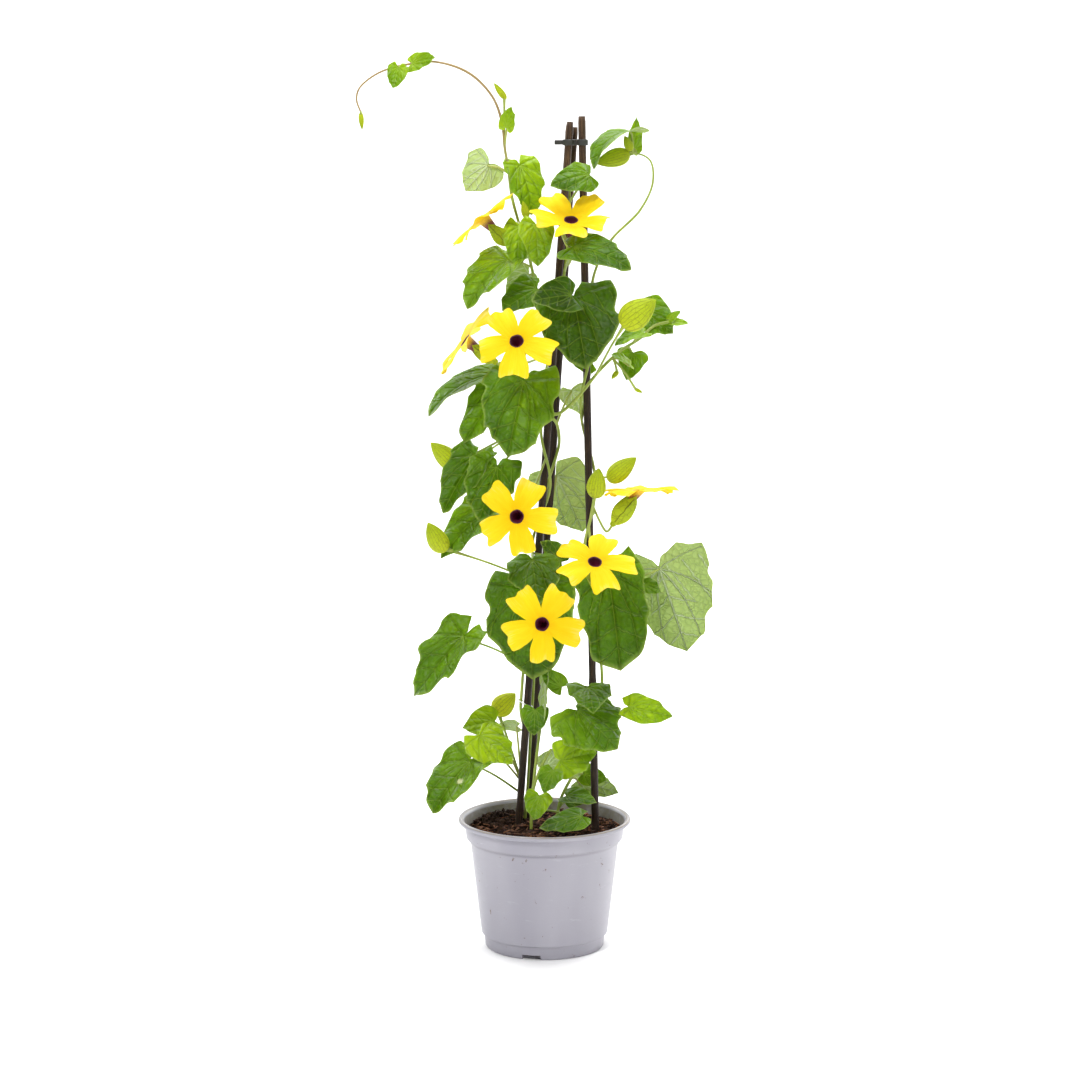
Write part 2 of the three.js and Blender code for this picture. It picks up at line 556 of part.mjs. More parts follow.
function stalkTo(root, end, behind) {
  const before = end.clone().addScaledVector(behind, -2);
  const middle = root.clone().lerp(end, 0.5).addScaledVector(UP, 1.5).addScaledVector(behind, -1);
  const points = behind.length() ? [root, middle, before, end] : [root, middle, end];
  return tube(points.map((p) => p.toArray()), STALK_R, 3, 16);
}

function leafyStem(shoot, shootIndex) {
  const curves = shoot.stems.map(curveThrough);
  const pieces = shoot.stems.map((points) => tube(points, STEM_R, 4, STEM_STEP));
  shoot.leaves.forEach(([near, at, tip, face, wide, bend, fold, twist, blunt], i) => {
    pieces.push(stalkTo(nearest(curves, vec(near)), vec(at), vec(face).normalize()));
    const small = vec(at).distanceTo(vec(tip)) < SMALL_LEAF;
    const inner = small && bend < FLAT_ENOUGH ? 0 : 0.5;
    const shape = { at, tip, face, wide, bend, fold, twist, blunt };
    pieces.push(blade(shape, small ? SMALL_HALF : LEAF_HALF, inner, shootIndex * 31 + i));
  });
  for (const [near, from, tip, face, width] of shoot.pods) {
    const root = nearest(curves, vec(near));
    const inside = vec(from).lerp(vec(tip), POD.stalkIn);
    pieces.push(stalkTo(root, inside, new THREE.Vector3()));
    pieces.push(pod({ from, tip, face, width }));
  }
  for (const name of shoot.blooms) {
    const bloom = BLOOMS[name];
    pieces.push(bloomSeat(bloom, nearest(curves, vec(bloom.root))));
  }
  return fuse(pieces);
}

// ---------------------------------------------------------------- pot, soil and fittings

function potSolid() {
  const profile = [
    [0, 0], [44, 0], [POT.baseR, 0.7], [45.8, 9.6], [47.6, 10.4], [56, 82], [59.2, 83.5], [60.3, 94.6],
    [64.4, 95.4], [POT.rimR, 97], [63.8, POT.height], [61, 98], [58.4, 85], [54.6, 82.6], [46, 11.6],
    [43.2, POT.floor], [0, POT.floor],
  ];
  const lathe = new THREE.LatheGeometry(profile.map(([r, z]) => new THREE.Vector2(r, z)), POT.facets);
  let body = solid(lathe.rotateX(Math.PI / 2));
  for (let i = 0; i < DRAIN.count; i++) {
    const angle = THREE.MathUtils.degToRad(DRAIN.firstDeg + (i * 360) / DRAIN.count);
    const slot = new THREE.BoxGeometry(10, DRAIN.width, DRAIN.height * 2).translate(POT.baseR, 0, 0);
    body = body.subtract(solid(slot.rotateZ(angle)));
  }
  return body;
}

// Low lumps everywhere and a heap at the back left.
function soilLift(x, y) {
  const lumps = Math.sin(x * 0.31 + 1) * Math.cos(y * 0.27) + 0.5 * Math.sin(x * 0.7 - y * 0.5);
  const away = Math.hypot(x - HEAP.x, y - HEAP.y) / HEAP.r;
  return SOIL.lump * lumps + HEAP.height * Math.exp(-away * away);
}

function soilSolid() {
  const profile = [
    [0, POT.floor + GAP], [42.6, POT.floor + GAP], [45.4, 11.8], [54, 82.8], [58, 85.3],
    [SOIL.edgeR, SOIL.level], [44, SOIL.level], [28, SOIL.level], [12, SOIL.level], [0, SOIL.level],
  ];
  const lathe = new THREE.LatheGeometry(profile.map(([r, z]) => new THREE.Vector2(r, z)), SOIL.facets);
  lathe.rotateX(Math.PI / 2);
  const position = lathe.attributes.position;
  for (let i = 0; i < position.count; i++) {
    const [x, y, z] = [position.getX(i), position.getY(i), position.getZ(i)];
    const onTop = z > SOIL.level - 0.1 && Math.hypot(x, y) < SOIL.edgeR - 1;
    if (onTop) position.setZ(i, z + soilLift(x, y));
  }
  let body = solid(lathe);
  for (const cane of Object.values(CANES)) body = body.subtract(caneSolid(cane, GAP + 0.15));
  for (const { stems } of Object.values(SHOOTS)) {
    const [low, next] = stems[0];
    if (low[2] > SOIL.level) continue;
    const far = vec(next).lerp(vec(low), -0.6).toArray();
    const under = [low[0], low[1], low[2] - 2];
    body = body.subtract(tube([under, low, next, far], STEM_R + 1, 5, 30));
  }
  return body;
}

// A ring round each cane, webs between the rings and a finger tab at the left.
function clipSolid() {
  const axes = Object.values(CANES).map((cane) => caneAt(cane, CLIP.z));
  const [left, right, back] = axes;
  const ring = (p, radius, height) => {
    const disc = new THREE.CylinderGeometry(radius, radius, height, 8).rotateX(Math.PI / 2);
    return solid(disc.translate(p.x, p.y, p.z));
  };
  const web = (p, q) => {
    const bar = new THREE.BoxGeometry(p.distanceTo(q), CLIP.web, CLIP.height);
    const middle = p.clone().lerp(q, 0.5);
    return solid(bar.rotateZ(Math.atan2(q.y - p.y, q.x - p.x)).translate(middle.x, middle.y, middle.z));
  };
  const [tabLong, tabDeep, tabHigh] = CLIP.tab;
  const tab = new THREE.BoxGeometry(tabLong, tabDeep, tabHigh);
  tab.translate(left.x - CLIP.tabOut, left.y, left.z);
  const rings = axes.map((p) => ring(p, CLIP.ringR, CLIP.height));
  const body = fuse([...rings, web(left, right), web(left, back), web(right, back), solid(tab)]);
  return Object.values(CANES).reduce((rest, cane) => rest.subtract(caneSolid(cane, GAP)), body);
}

// A loop of wire round the left cane and the stem beside it.
function tieSolid() {
  const cane = caneAt(CANES.cane_left, TIE.z);
  const reach = CANE.r + STEM_R * 2 + 1;
  const loop = new THREE.TorusGeometry(1, TIE.wireR, 4, 16);
  const position = loop.attributes.position;
  const long = (reach + CANE.r) / 2 + GAP + TIE.wireR;
  const deep = CANE.r + GAP + TIE.wireR + TIE.slack;
  for (let i = 0; i < position.count; i++) {
    const [x, y, z] = [position.getX(i), position.getY(i), position.getZ(i)];
    const radius = Math.hypot(x, y);
    const swell = radius - 1;
    const [ux, uy] = [x / radius, y / radius];
    position.setXYZ(i, ux * (long + swell), uy * (deep + swell), z - ux * TIE.tilt);
  }
  return geometryOf(solid(loop.translate(cane.x - (reach - CANE.r) / 2, cane.y, cane.z)));
}

// ---------------------------------------------------------------- assembly

const material = (color, roughness) => new THREE.MeshStandardMaterial({ color, roughness, metalness: 0 });
const MATERIALS = {
  pot: material(0xbebcc6, 0.45),
  soil: material(0x35241a, 0.95),
  cane: material(0x2c1f18, 0.6),
  clip: material(0x2a2d28, 0.5),
  tie: material(0xe4e4e0, 0.5),
  foliage: material(0x3f7d1c, 0.5),
  petals: material(0xffe100, 0.5),
  throat: material(0x2d0a16, 0.7),
};

const vine = new THREE.Group();

function addPiece(name, geometry, look) {
  const mesh = new THREE.Mesh(geometry, MATERIALS[look]);
  mesh.name = name;
  vine.add(mesh);
}

addPiece('pot', geometryOf(potSolid()), 'pot');
addPiece('soil', geometryOf(soilSolid()), 'soil');
for (const [name, cane] of Object.entries(CANES)) addPiece(name, geometryOf(caneSolid(cane)), 'cane');
addPiece('cane_clip', geometryOf(clipSolid()), 'clip');
addPiece('twist_tie', tieSolid(), 'tie');
Object.entries(SHOOTS).forEach(([name, shoot], i) => {
  addPiece(name, geometryOf(leafyStem(shoot, i + 1)), 'foliage');
});
Object.entries(BLOOMS).forEach(([name, bloom], i) => {
  addPiece(`${name}_petals`, limb(bloom, i + 1), 'petals');
  addPiece(`${name}_throat`, throat(bloom), 'throat');
});

export default vine;
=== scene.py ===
"""Black eyed susan vine (Thunbergia alata) in a nursery pot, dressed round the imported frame.

Numbers named in millimetres are turned to metres as each piece is closed. The origin is the centre of the
pot's underside, +X is right, +Y is the back and +Z is up.
"""

import math
import random

import bmesh
import bpy
import numpy as np
from mathutils import Matrix, Vector


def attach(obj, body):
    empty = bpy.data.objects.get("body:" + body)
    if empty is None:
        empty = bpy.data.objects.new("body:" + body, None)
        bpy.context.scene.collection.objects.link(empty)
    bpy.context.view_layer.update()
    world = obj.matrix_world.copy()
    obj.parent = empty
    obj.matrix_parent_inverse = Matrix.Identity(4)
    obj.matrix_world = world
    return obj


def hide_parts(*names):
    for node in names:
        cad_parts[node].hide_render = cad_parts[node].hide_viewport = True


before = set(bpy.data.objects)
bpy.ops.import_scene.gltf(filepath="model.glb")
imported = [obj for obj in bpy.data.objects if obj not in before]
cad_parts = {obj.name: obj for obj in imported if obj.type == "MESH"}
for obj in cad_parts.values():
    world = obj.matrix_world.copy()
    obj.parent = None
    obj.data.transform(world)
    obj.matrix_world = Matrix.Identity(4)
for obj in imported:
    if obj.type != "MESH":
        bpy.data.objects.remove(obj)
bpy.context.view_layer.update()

MM = 0.001
BODY = "root"
FULL_TURN = 2 * math.pi

# ---------------------------------------------------------------- sizes, in millimetres

BAND_Z, LIP_Z = 82.3, 98.3  # where the pot's wide rim band starts and its lip turns over
SOIL_LEVEL = 89
SOIL_EDGE_R = 58.8
CANE_R = 2.9
CANE_LENGTH = 600
CANE_CLEAR = 0.9  # from a cane to a stem wound round it
CANES = {
    "cane_left": {"soil": (-19.6, 11, 91), "top": (18.5, 6, 618)},
    "cane_right": {"soil": (38.3, -6, 91), "top": (27.1, 6, 622)},
    "cane_back": {"soil": (-12.2, 30, 91), "top": (21.8, 15, 614)},
}
CLIP_Z = 603
TIE_Z = 184
TIE_TILT = 3
TIE_POINTS, TIE_WIRE_R = 48, 0.45
STEM_R = 1.2
STALK_R = 0.85
TWINE_DEG, TWINE_RISE = 30, 20  # the most that a stem turns and rises between two points
PATH_STEP = 2.5  # between two rings of a stem or stalk
STEM_SIDES, STALK_SIDES = 10, 8
FINE_END_Z = 580  # a stem that ends above this thins out more
BLADE = 0.3  # how thick a leaf or petal is
BLOOM = {"r": 31, "eye_r": 5, "tube": 22, "tube_end_r": 1.9, "cup": 2.4}
RUNNER = "shoot_upper_left"  # its stem turns brown once it is clear of the canes
BRACT = {"length": 21, "spread": 7.5, "seat": 2.8}

# Half of a leaf's outline from the tip to the notch at its stalk, as shares of its length and half width.
LEAF_HALF = [(0.84, 0.42), (0.62, 0.66), (0.42, 0.93), (0.2, 0.87), (0.03, 1), (-0.2, 0.72), (-0.18, 0.2)]
SMALL_HALF = [(0.76, 0.5), (0.42, 0.85), (0.02, 1), (-0.22, 0.5)]
BRACT_HALF = [(0.75, 0.6), (0.35, 1), (0.02, 0.45)]
SMALL_LEAF = 34
TEETH = (0.05, 0.1)  # how deep a leaf's teeth are, as a share of its length
LEAF_RINGS, SMALL_RINGS, BRACT_RINGS = 15, 10, 8  # rings of faces from the middle to the edge
POD_GRID = (28, 20)
# Veins that fan out from a leaf's stalk: angle from the midrib, how much it bows to the tip, width.
FAN = [(0.0, 0.0, 1.1), (0.52, 0.35, 0.85), (1.10, 0.42, 0.75), (1.90, 0.3, 0.55)]
LEAF_TIP = (1, 0)
LEAF_NOTCH = (-0.03, 0)


def vec(point):
    return np.array(point, dtype=float)


def unit(vector):
    return vector / np.linalg.norm(vector)


def facing(face, along):
    """The direction nearest to face that is square to along."""
    return unit(vec(face) - along * vec(face).dot(along))


def columns(*parts):
    return np.stack(parts, axis=1)


def row_of(share, count):
    """Shares from 0 to 1 as whole numbers from 0 to count."""
    return np.rint(share * count).astype(int)


UP = vec((0, 0, 1))


def cane_at(cane, z):
    direction = unit(vec(cane["top"]) - vec(cane["soil"]))
    return vec(cane["soil"]) + direction * (z - cane["soil"][2]) / direction[2]


def twine(name, from_z, to_z, from_deg, to_deg):
    """Points of a stem wound round a cane. Angles rise from the right to the back."""
    turns = max(2, math.ceil(abs(to_deg - from_deg) / TWINE_DEG), math.ceil((to_z - from_z) / TWINE_RISE))
    clear = CANE_R + STEM_R + CANE_CLEAR
    points = []
    for i in range(turns + 1):
        t = i / turns
        angle = math.radians(from_deg + (to_deg - from_deg) * t)
        axis = cane_at(CANES[name], from_z + (to_z - from_z) * t)
        points.append([axis[0] + clear * math.cos(angle), axis[1] + clear * math.sin(angle), axis[2]])
    return points


# ---------------------------------------------------------------- the plant's places

# Each tone holds the leaf's own colour with painted light in it as well: leaves lit from behind are set
# lighter and shaded ones darker.
# Tones run from 0, dark, to 9, light, one for each leaf. p is a leaf that is pale on both sides and s one
# with a scar.
# Leaf rows: near which stem point it grows, stalk end, tip, face, half width over length, bend, fold
# and, where they aren't 0, its twist and how much fuller its end is.
# Pod rows: near which stem point it grows, base, tip, face, width.
SHOOTS = {
  "stem_left": {
    "tones": "42325",
    "stems": [[[-21.8, 16.4, 60], [-19.7, 16.1, 90], *twine("cane_left", 108, 150, 90, 90),
      *twine("cane_left", 162, 182, 92, 176), *twine("cane_left", 190, 205, 180, 180),
      *twine("cane_left", 225, 395, 135, -540)]],
    "leaves": [
      [[-20, 8, 214], [-60, -22, 241], [-96, -36, 198], [-0.35, -0.7, 0.6], 0.36, 20, 18],
      [[-4, 8, 262], [-11, -24, 276], [-9, -34, 211], [-0.1, -1, 0.15], 0.54, 15, 4],
      [[-12, 8, 298], [-9, -28, 299], [-5, -54, 269], [0, -0.55, 0.8], 0.5, 30, -8],
      [[-12, 8, 298], [12, -8, 295], [-3, -14, 311], [0.1, -0.8, 0.6], 0.5, 20, 8],
      [[-10, 8, 330], [-42, 4, 334], [-77, -14, 298], [-0.5, -0.8, 0.35], 0.34, 25, 12],
    ],
    "pods": [[[-5, 4, 276], [-74, -16, 303], [-86, -20, 326], [-0.3, -1, 0.2], 16]],
    "blooms": ["bloom_5", "bloom_7"],
 },
  "stem_back": {
    "tones": "334549711334",
    "stems": [[[-16, 20, 60], [-15, 20, 90], [-13, 19, 115], [-11, 18, 150], [-9, 18, 185],
      *twine("cane_back", 225, 380, -120, 330), [9, 8, 396], [3, -1, 405],
      *twine("cane_left", 430, 575, -150, 60)]],
    "leaves": [
      [[3, -1, 402], [-51, -16, 374], [-75, -34, 335], [-0.35, -0.8, 0.5], 0.36, 20, 16],
      [[3, -1, 400], [-35, -28, 368], [-48, -44, 330], [-0.2, -0.9, 0.3], 0.5, 15, 14],
      [[3, -1, 405], [-15, -28, 431], [-27, -48, 378], [-0.15, -0.95, 0.3], 0.52, 15, 6],
      [[1, 0, 412], [-32, -2, 424], [-59, -14, 384], [-0.4, -0.8, 0.4], 0.38, 20, 10],
      [[0, 1, 418], [-33, 4, 433], [-86, -8, 403], [-0.25, -0.25, 0.93], 0.3, 60, 10],
      [[6, 28, 300], [9, 36, 353], [29, 38, 310], [0.1, 0.95, 0.2], 0.52, 10, 4],
      [[9, 8, 396], [20, 12, 420], [28, 22, 401], [0.1, 0.9, 0.2], 0.5, 10, 6],
      [[8, 1, 480], [21, -20, 491], [30, -42, 441], [0.12, -0.9, 0.4], 0.58, 18, 6],
      [[10, 1, 484], [19, -32, 494], [-9, -46, 491], [-0.1, -0.9, 0.45], 0.5, 15, 10],
      [[8, 2, 482], [-6, -12, 497], [-31, -24, 482], [-0.2, -0.8, 0.5], 0.5, 20, 8],
      [[14, 2, 510], [21, -44, 529], [62, -52, 513], [0.15, -0.6, 0.8], 0.4, 45, 6],
      [[18, 8, 560], [32, -14, 580], [4, -24, 572], [-0.1, -0.9, 0.45], 0.42, 45, -8],
    ],
    "pods": [[[3, -1, 396], [-63, -6, 364], [-84, -10, 384], [-0.3, -1, 0.2], 16]],
    "blooms": ["bloom_1", "bloom_3", "bloom_4"],
 },
  "stem_right": {
    "tones": "859844354431",
    "stems": [[[7, -11, 60], [8, -11, 90], [12, -9, 114], [20, -10, 131], [30, -13, 150], [40, -13, 176],
      [43, -4, 202], *twine("cane_right", 240, 440, 0, 643)]],
    "leaves": [
      [[20, -10, 131], [12, -20, 147], [39, -30, 155], [-0.1, -0.9, 0.4], 0.52, 12, 8],
      [[20, -10, 131], [30, 8, 130], [47, 5, 126], [0.1, -0.9, 0.3], 0.5, 10, 6],
      [[20, -10, 131], [27, 26, 120], [57, 22, 112], [0, 0.9, 0.5], 0.42, 10, 6],
      [[40, -13, 172], [63, -20, 187], [95, -26, 181], [0.1, -0.75, 0.65], 0.36, 10, 12, 60],
      [[36, -13, 165], [25, -28, 186], [54, -46, 161], [0.25, -0.75, 0.65], 0.68, 18, -6],
      [[40, -12, 178], [32, -20, 202], [36, -46, 188], [0.1, -0.5, 0.85], 0.58, 20, 10],
      [[33, -6, 318], [47, -18, 288], [56, -38, 218], [0.1, -1, 0.25], 0.37, 12, 6, 0, 0.6],
      [[36, 4, 262], [86, 14, 286], [107, 8, 224], [0.2, 0.97, 0.15], 0.58, 8, 6],
      [[36, 4, 262], [75, 2, 276], [87, -4, 271], [0.1, -0.9, 0.4], 0.45, 10, 6],
      [[28, 4, 400], [35, 10, 441], [16, 10, 446], [-0.1, -0.9, 0.3], 0.45, 20, 6],
      [[11, -9, 108], [17, -13, 118], [39, -24, 115], [0.1, -0.5, 0.85], 0.42, 25, 8],
      [[11, -9, 108], [19, 8, 111], [36, 6, 113], [0, -0.85, 0.5], 0.46, 15, 8],
    ],
    "pods": [
      [[37, 2, 353], [47, 2, 354], [68, -2, 372], [0.1, -1, 0.3], 15],
      [[36, 0, 324], [37, -14, 343], [40, -17, 366], [-0.3, -1, 0.1], 15],
    ],
    "blooms": ["bloom_6", "bloom_8"],
 },
  "shoot_low_left": {
    "tones": "s998",
    "pod_tone": 1.0,
    "stems": [[[-20.5, 19.5, 60], [-19.8, 19.2, 90], [-18.4, 18.8, 108], [-17.6, 18.6, 122]]],
    "leaves": [
      [[-18.2, 18.8, 112], [-56, -12, 144], [-84, -30, 109], [-0.4, -0.7, 0.6], 0.44, 25, 12],
      [[-17.6, 18.6, 122], [-48, -8, 163], [-24, -18, 143], [0, -0.65, 0.75], 0.56, 15, -8],
      [[-17.6, 18.6, 122], [-38, 14, 169], [-62, 6, 166], [0, -0.75, 0.65], 0.55, 15, 8],
      [[-17.6, 18.6, 122], [-21, 20, 164], [-36, 26, 163], [0, 0.85, 0.5], 0.4, 10, 6],
    ],
    "pods": [[[-17.6, 18.6, 122], [-38, 24, 173], [-22, 28, 188], [0, -1, 0.2], 17]],
 },
  "shoot_low_middle": {
    "tones": "3p55737",
    "stems": [[[-10, -2, 60], [-10, -2, 90], [-9, -2, 117], [-3, -4, 137], [5, -4, 152]],
      [[-9, -2, 117], [-6, 0, 145], [-2, 2, 175], [3, 0, 205]]],
    "leaves": [
      [[-8, 0, 160], [-7, -6, 182], [-8, -12, 164], [-0.2, -0.9, 0.3], 0.58, 12, 6],
      [[3, 0, 205], [1, -6, 206], [0, -10, 172], [-0.95, -0.3, 0], 0.3, 8, 12],
      [[3, 0, 205], [12, -10, 201], [-3, -12, 214], [-0.3, -0.7, 0.6], 0.4, 20, 6],
      [[-3, -4, 137], [6, -34, 142], [-1, -42, 127], [-0.1, -0.8, 0.5], 0.5, 15, 8],
      [[-9, -2, 112], [-4, -30, 122], [-8, -40, 106], [0, -0.8, 0.5], 0.55, 15, 10],
      [[-9, -2, 106], [27, -40, 109], [-4, -44, 101], [0, -0.45, 0.9], 0.4, 15, -8],
      [[-3, -4, 137], [1, 8, 136], [12, 8, 150], [0.1, 0.9, 0.4], 0.5, 10, 6],
    ],
 },
  "shoot_upper_right": {
    "tones": "465778",
    "stems": [[[4.1, -2, 404.6], [10, -7, 405], [22, -10, 415], [41, -11, 438], [55, -8, 451],
      [70, -2, 460], [81, 4, 469], [92, 4, 472]]],
    "leaves": [
      [[70, -2, 460], [73, 12, 479], [95, 6, 463], [0.2, -0.85, 0.4], 0.6, 15, 8],
      [[64, -4, 456], [72, -10, 465], [51, -20, 456], [-0.2, -0.5, 0.85], 0.38, 40, 10],
      [[60, -6, 454], [65, -2, 449], [60, -10, 430], [0.1, -0.8, 0.4], 0.55, 20, 8],
      [[50, -9, 446], [62, -18, 443], [48, -26, 450], [0, -0.5, 0.85], 0.4, 30, 8],
      [[91, 4, 472], [92, 4, 474], [100, 2, 480], [-0.4, -0.8, 0.4], 0.35, 10, 10],
      [[92, 4, 472], [94, 4, 472], [106, 2, 471], [0, -0.8, 0.6], 0.3, 10, 10],
    ],
    "pods": [
      [[38, -11, 434], [55, -46, 473], [80, -50, 492], [0.2, -0.9, 0.4], 22],
      [[50, -9, 446], [54, -10, 437], [49, -12, 431], [0, -0.9, 0.4], 4],
      [[50, -9, 446], [66, -12, 424], [72, -12, 421], [0, -0.9, 0.4], 3],
    ],
 },
  "shoot_upper_left": {
    "tones": "627787778",
    "stems": [[[2.2, 3.2, 457], [-2, 2, 478], [-8, 3, 505], [-13, 4, 526], [-19, 2, 545], [-24, 2, 564],
      [-27, 2, 587], [-29, 2, 598], [-31, 0, 617], [-38, -3, 636], [-55, -4, 653], [-79, -6, 661],
      [-101, -2, 659], [-121, 0, 653], [-135, 2, 642], [-137, 2, 634], [-134, 0, 625]]],
    "leaves": [
      [[-9, 4, 512], [-27, -8, 518], [-57, -30, 484], [-0.35, -0.55, 0.75], 0.42, 40, 12],
      [[-7, 5, 505], [-12, 18, 506], [-29, 20, 492], [0, 0.9, 0.4], 0.5, 10, 6],
      [[-19, 2, 545], [-18, -9, 542], [-20, -20, 513], [-0.2, -0.9, 0.2], 0.42, 15, 8],
      [[-16, 3, 537], [-6, -18, 544], [-5, -28, 514], [0.05, -0.9, 0.45], 0.42, 20, 8],
      [[-26, 2, 580], [-41, 4, 587], [-58, 0, 568], [0.3, 0.85, 0.4], 0.6, 10, 6],
      [[-25, 2, 575], [-18, 4, 586], [-9, 0, 550], [0.45, -0.8, 0.4], 0.42, 40, 4],
      [[-81, -6, 659], [-96, -4, 660], [-79, -12, 664], [0, -0.85, 0.5], 0.42, 8, 8],
      [[-101, -2, 658], [-106, -6, 657], [-110, -8, 642], [-0.1, -0.9, 0.2], 0.5, 12, 6],
      [[-30, 2, 601], [-28, -4, 614], [-24, -6, 629], [-0.3, -0.9, 0.2], 0.42, 10, 8],
    ],
    "pods": [
      [[-17, 2, 538], [-13, -5, 548], [-16, -8, 561], [0, -1, 0], 6],
      [[-30, 2, 602], [-28, -2, 634], [-37, -4, 646], [0, -1, 0], 5],
      [[-134, 0, 625], [-134, 0, 625], [-133, 0, 612], [0, -1, 0], 4],
    ],
    "blooms": ["bloom_2"],
 },
  "shoot_top_right": {
    "tones": "57",
    "pod_tone": 0.55,
    "stems": [[*twine("cane_right", 441, 485, 646, 800), [34, 12, 495], [38, 11, 511], [49, 6, 532],
      [70, 2, 554], [79, 0, 574], [77, 0, 590], [67, 0, 595], [58, -2, 592]]],
    "leaves": [
      [[64, 0, 595], [62, -4, 611], [35, -20, 584], [-0.6, -0.3, 0.75], 0.4, 80, 8],
      [[67, 0, 595], [65, 3, 598], [67, 1, 622], [0.3, -0.9, 0.2], 0.26, 15, 8],
    ],
    "pods": [
      [[67, 0, 595], [62, -2, 595], [37, -8, 588], [0.1, -1, 0.2], 14],
      [[64, 0, 595], [63, -3, 597], [58, -6, 608], [0.2, -1, 0], 7],
    ],
 },
}

# Blooms: centre of the eye, face, way the tube runs, turn of the first petal, near which stem point
# it grows and, where they differ from BLOOM and BRACT, the lengths of its tube and bracts.
BLOOM_KEYS = ("eye", "face", "tail", "spin", "root", "tube", "bract")
BLOOM_ROWS = {
  "bloom_1": [[19, -24, 547], [0.05, -0.5, 0.87], [0, 0.5, -0.87], 44, [15, 2, 515]],
  "bloom_2": [[-44, -6, 547], [-0.66, 0.08, 0.75], [0.7, -0.02, -0.7], 20, [-14, 3, 530]],
  "bloom_3": [[-20, -66, 463], [-0.1, -0.8, 0.5], [0.1, 0.8, -0.5], -34, [3, 1, 450]],
  "bloom_4": [[-57, -26, 460], [-0.8, -0.1, 0.58], [0.8, 0.1, -0.58], 10, [1, 2, 428]],
  "bloom_5": [[-20, -68, 337], [-0.1, -0.97, 0.2], [0.1, 0.97, -0.1], 25, [-3, 2, 370]],
  "bloom_6": [[36, -72, 304], [0.12, -0.6, 0.79], [0, 0.65, -0.76], 26, [34, -6, 322]],
  "bloom_7": [[-2, -76, 260], [0.05, -0.99, 0.1], [0.1, 0.98, -0.2], 33, [-5, 3, 272]],
  "bloom_8": [[70, 0, 346], [-0.03, 0.05, 0.99], [-0.62, 0, -0.78], 0, [37, -3, 334], 27, 27],
}
BLOOMS = {name: dict(zip(BLOOM_KEYS, row)) for name, row in BLOOM_ROWS.items()}


# ---------------------------------------------------------------- surfaces


def seeded(seed):
    """The same even random draws on every run."""
    state = seed * 7919 + 17
    while True:
        state = state * 16807 % 2147483647
        yield state / 2147483647


def add_sheet(bm, across, along, surface, look=(0, 0, 0), material=0, weld=0.004):
    """A grid whose points surface(u, v) places. It gives points and the flat pattern coordinates."""
    verts = bmesh.ops.create_grid(bm, x_segments=across, y_segments=along, size=0.5)["verts"]
    uv = np.array([v.co[:2] for v in verts]) + 0.5
    points, flat = surface(uv[:, 0], uv[:, 1])
    flat_layer, look_layer = layers(bm)
    for vert, point, pattern in zip(verts, points, flat):
        vert.co = point
        vert[flat_layer] = pattern
        vert[look_layer] = look
    for face in faces_of(verts):
        face.material_index = material
        face.smooth = True
    bmesh.ops.remove_doubles(bm, verts=verts, dist=weld)
    return [vert for vert in verts if vert.is_valid]


def faces_of(verts):
    return {face for vert in verts for face in vert.link_faces}


def new_mesh():
    """An empty mesh that stores each point's pattern coordinates and look."""
    bm = bmesh.new()
    bm.verts.layers.float_vector.new("flat")
    bm.verts.layers.float_vector.new("look")
    return bm


def layers(bm):
    store = bm.verts.layers.float_vector
    return store["flat"], store["look"]


def close_rim(bm, verts, material=0):
    """Joins the open rims of an upper and a lower skin with a narrow edge."""
    rim = list({edge for vert in verts for edge in vert.link_edges if edge.is_boundary})
    for edge in rim:
        edge.smooth = False
    for face in bmesh.ops.bridge_loops(bm, edges=rim)["faces"]:
        face.material_index = material
        face.smooth = True


def across_normal(surface_at, u, v, step=0.004):
    """The surface's own normal, from small steps along its two directions."""
    du = surface_at(u + step, v) - surface_at(u - step, v)
    dv = surface_at(u, v + step) - surface_at(u, v - step)
    normal = np.cross(du, dv)
    return normal / np.maximum(np.linalg.norm(normal, axis=1, keepdims=True), 1e-9)


def add_object(name, data):
    made = bpy.data.objects.new(name, data)
    bpy.context.scene.collection.objects.link(made)
    return made


def add_mesh(name, bm):
    mesh = bpy.data.meshes.new(name)
    bm.to_mesh(mesh)
    bm.free()
    return add_object(name, mesh)


def finish_piece(bm, name, materials, nodes):
    """Turns millimetres to metres, makes the object, hangs it on the body and hides the imported parts it
    stands for.
    """
    bmesh.ops.recalc_face_normals(bm, faces=bm.faces[:])
    bmesh.ops.scale(bm, vec=(MM, MM, MM), verts=bm.verts[:])
    piece = add_mesh(name, bm)
    for material in materials:
        piece.data.materials.append(material)
    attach(piece, BODY)
    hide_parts(*nodes)
    return piece


def fours(points):
    """Every four neighbours along the points, with one more point carried on past each end."""
    p = [vec(q) for q in points]
    p = [p[0] * 2 - p[1], *p, p[-1] * 2 - p[-2]]
    return zip(p, p[1:], p[2:], p[3:])


def smooth_path(points):
    """A smooth curve through the points, in steps of about PATH_STEP."""
    out = []
    for p0, p1, p2, p3 in fours(points):
        d0, d1, d2 = (max(np.linalg.norm(b - a), 1e-6) ** 0.5 for a, b in ((p0, p1), (p1, p2), (p2, p3)))
        t1 = (p1 - p0) / d0 - (p2 - p0) / (d0 + d1) + (p2 - p1) / d1
        t2 = (p2 - p1) / d1 - (p3 - p1) / (d1 + d2) + (p3 - p2) / d2
        t1, t2 = t1 * d1, t2 * d1
        count = max(2, math.ceil(np.linalg.norm(p2 - p1) / PATH_STEP))
        for t in np.arange(count) / count:
            a, b = 2 * t**3 - 3 * t**2 + 1, t**3 - 2 * t**2 + t
            out.append(a * p1 + b * t1 + (1 - a) * p2 + (t**3 - t**2) * t2)
    return np.array([*out, vec(points[-1])])


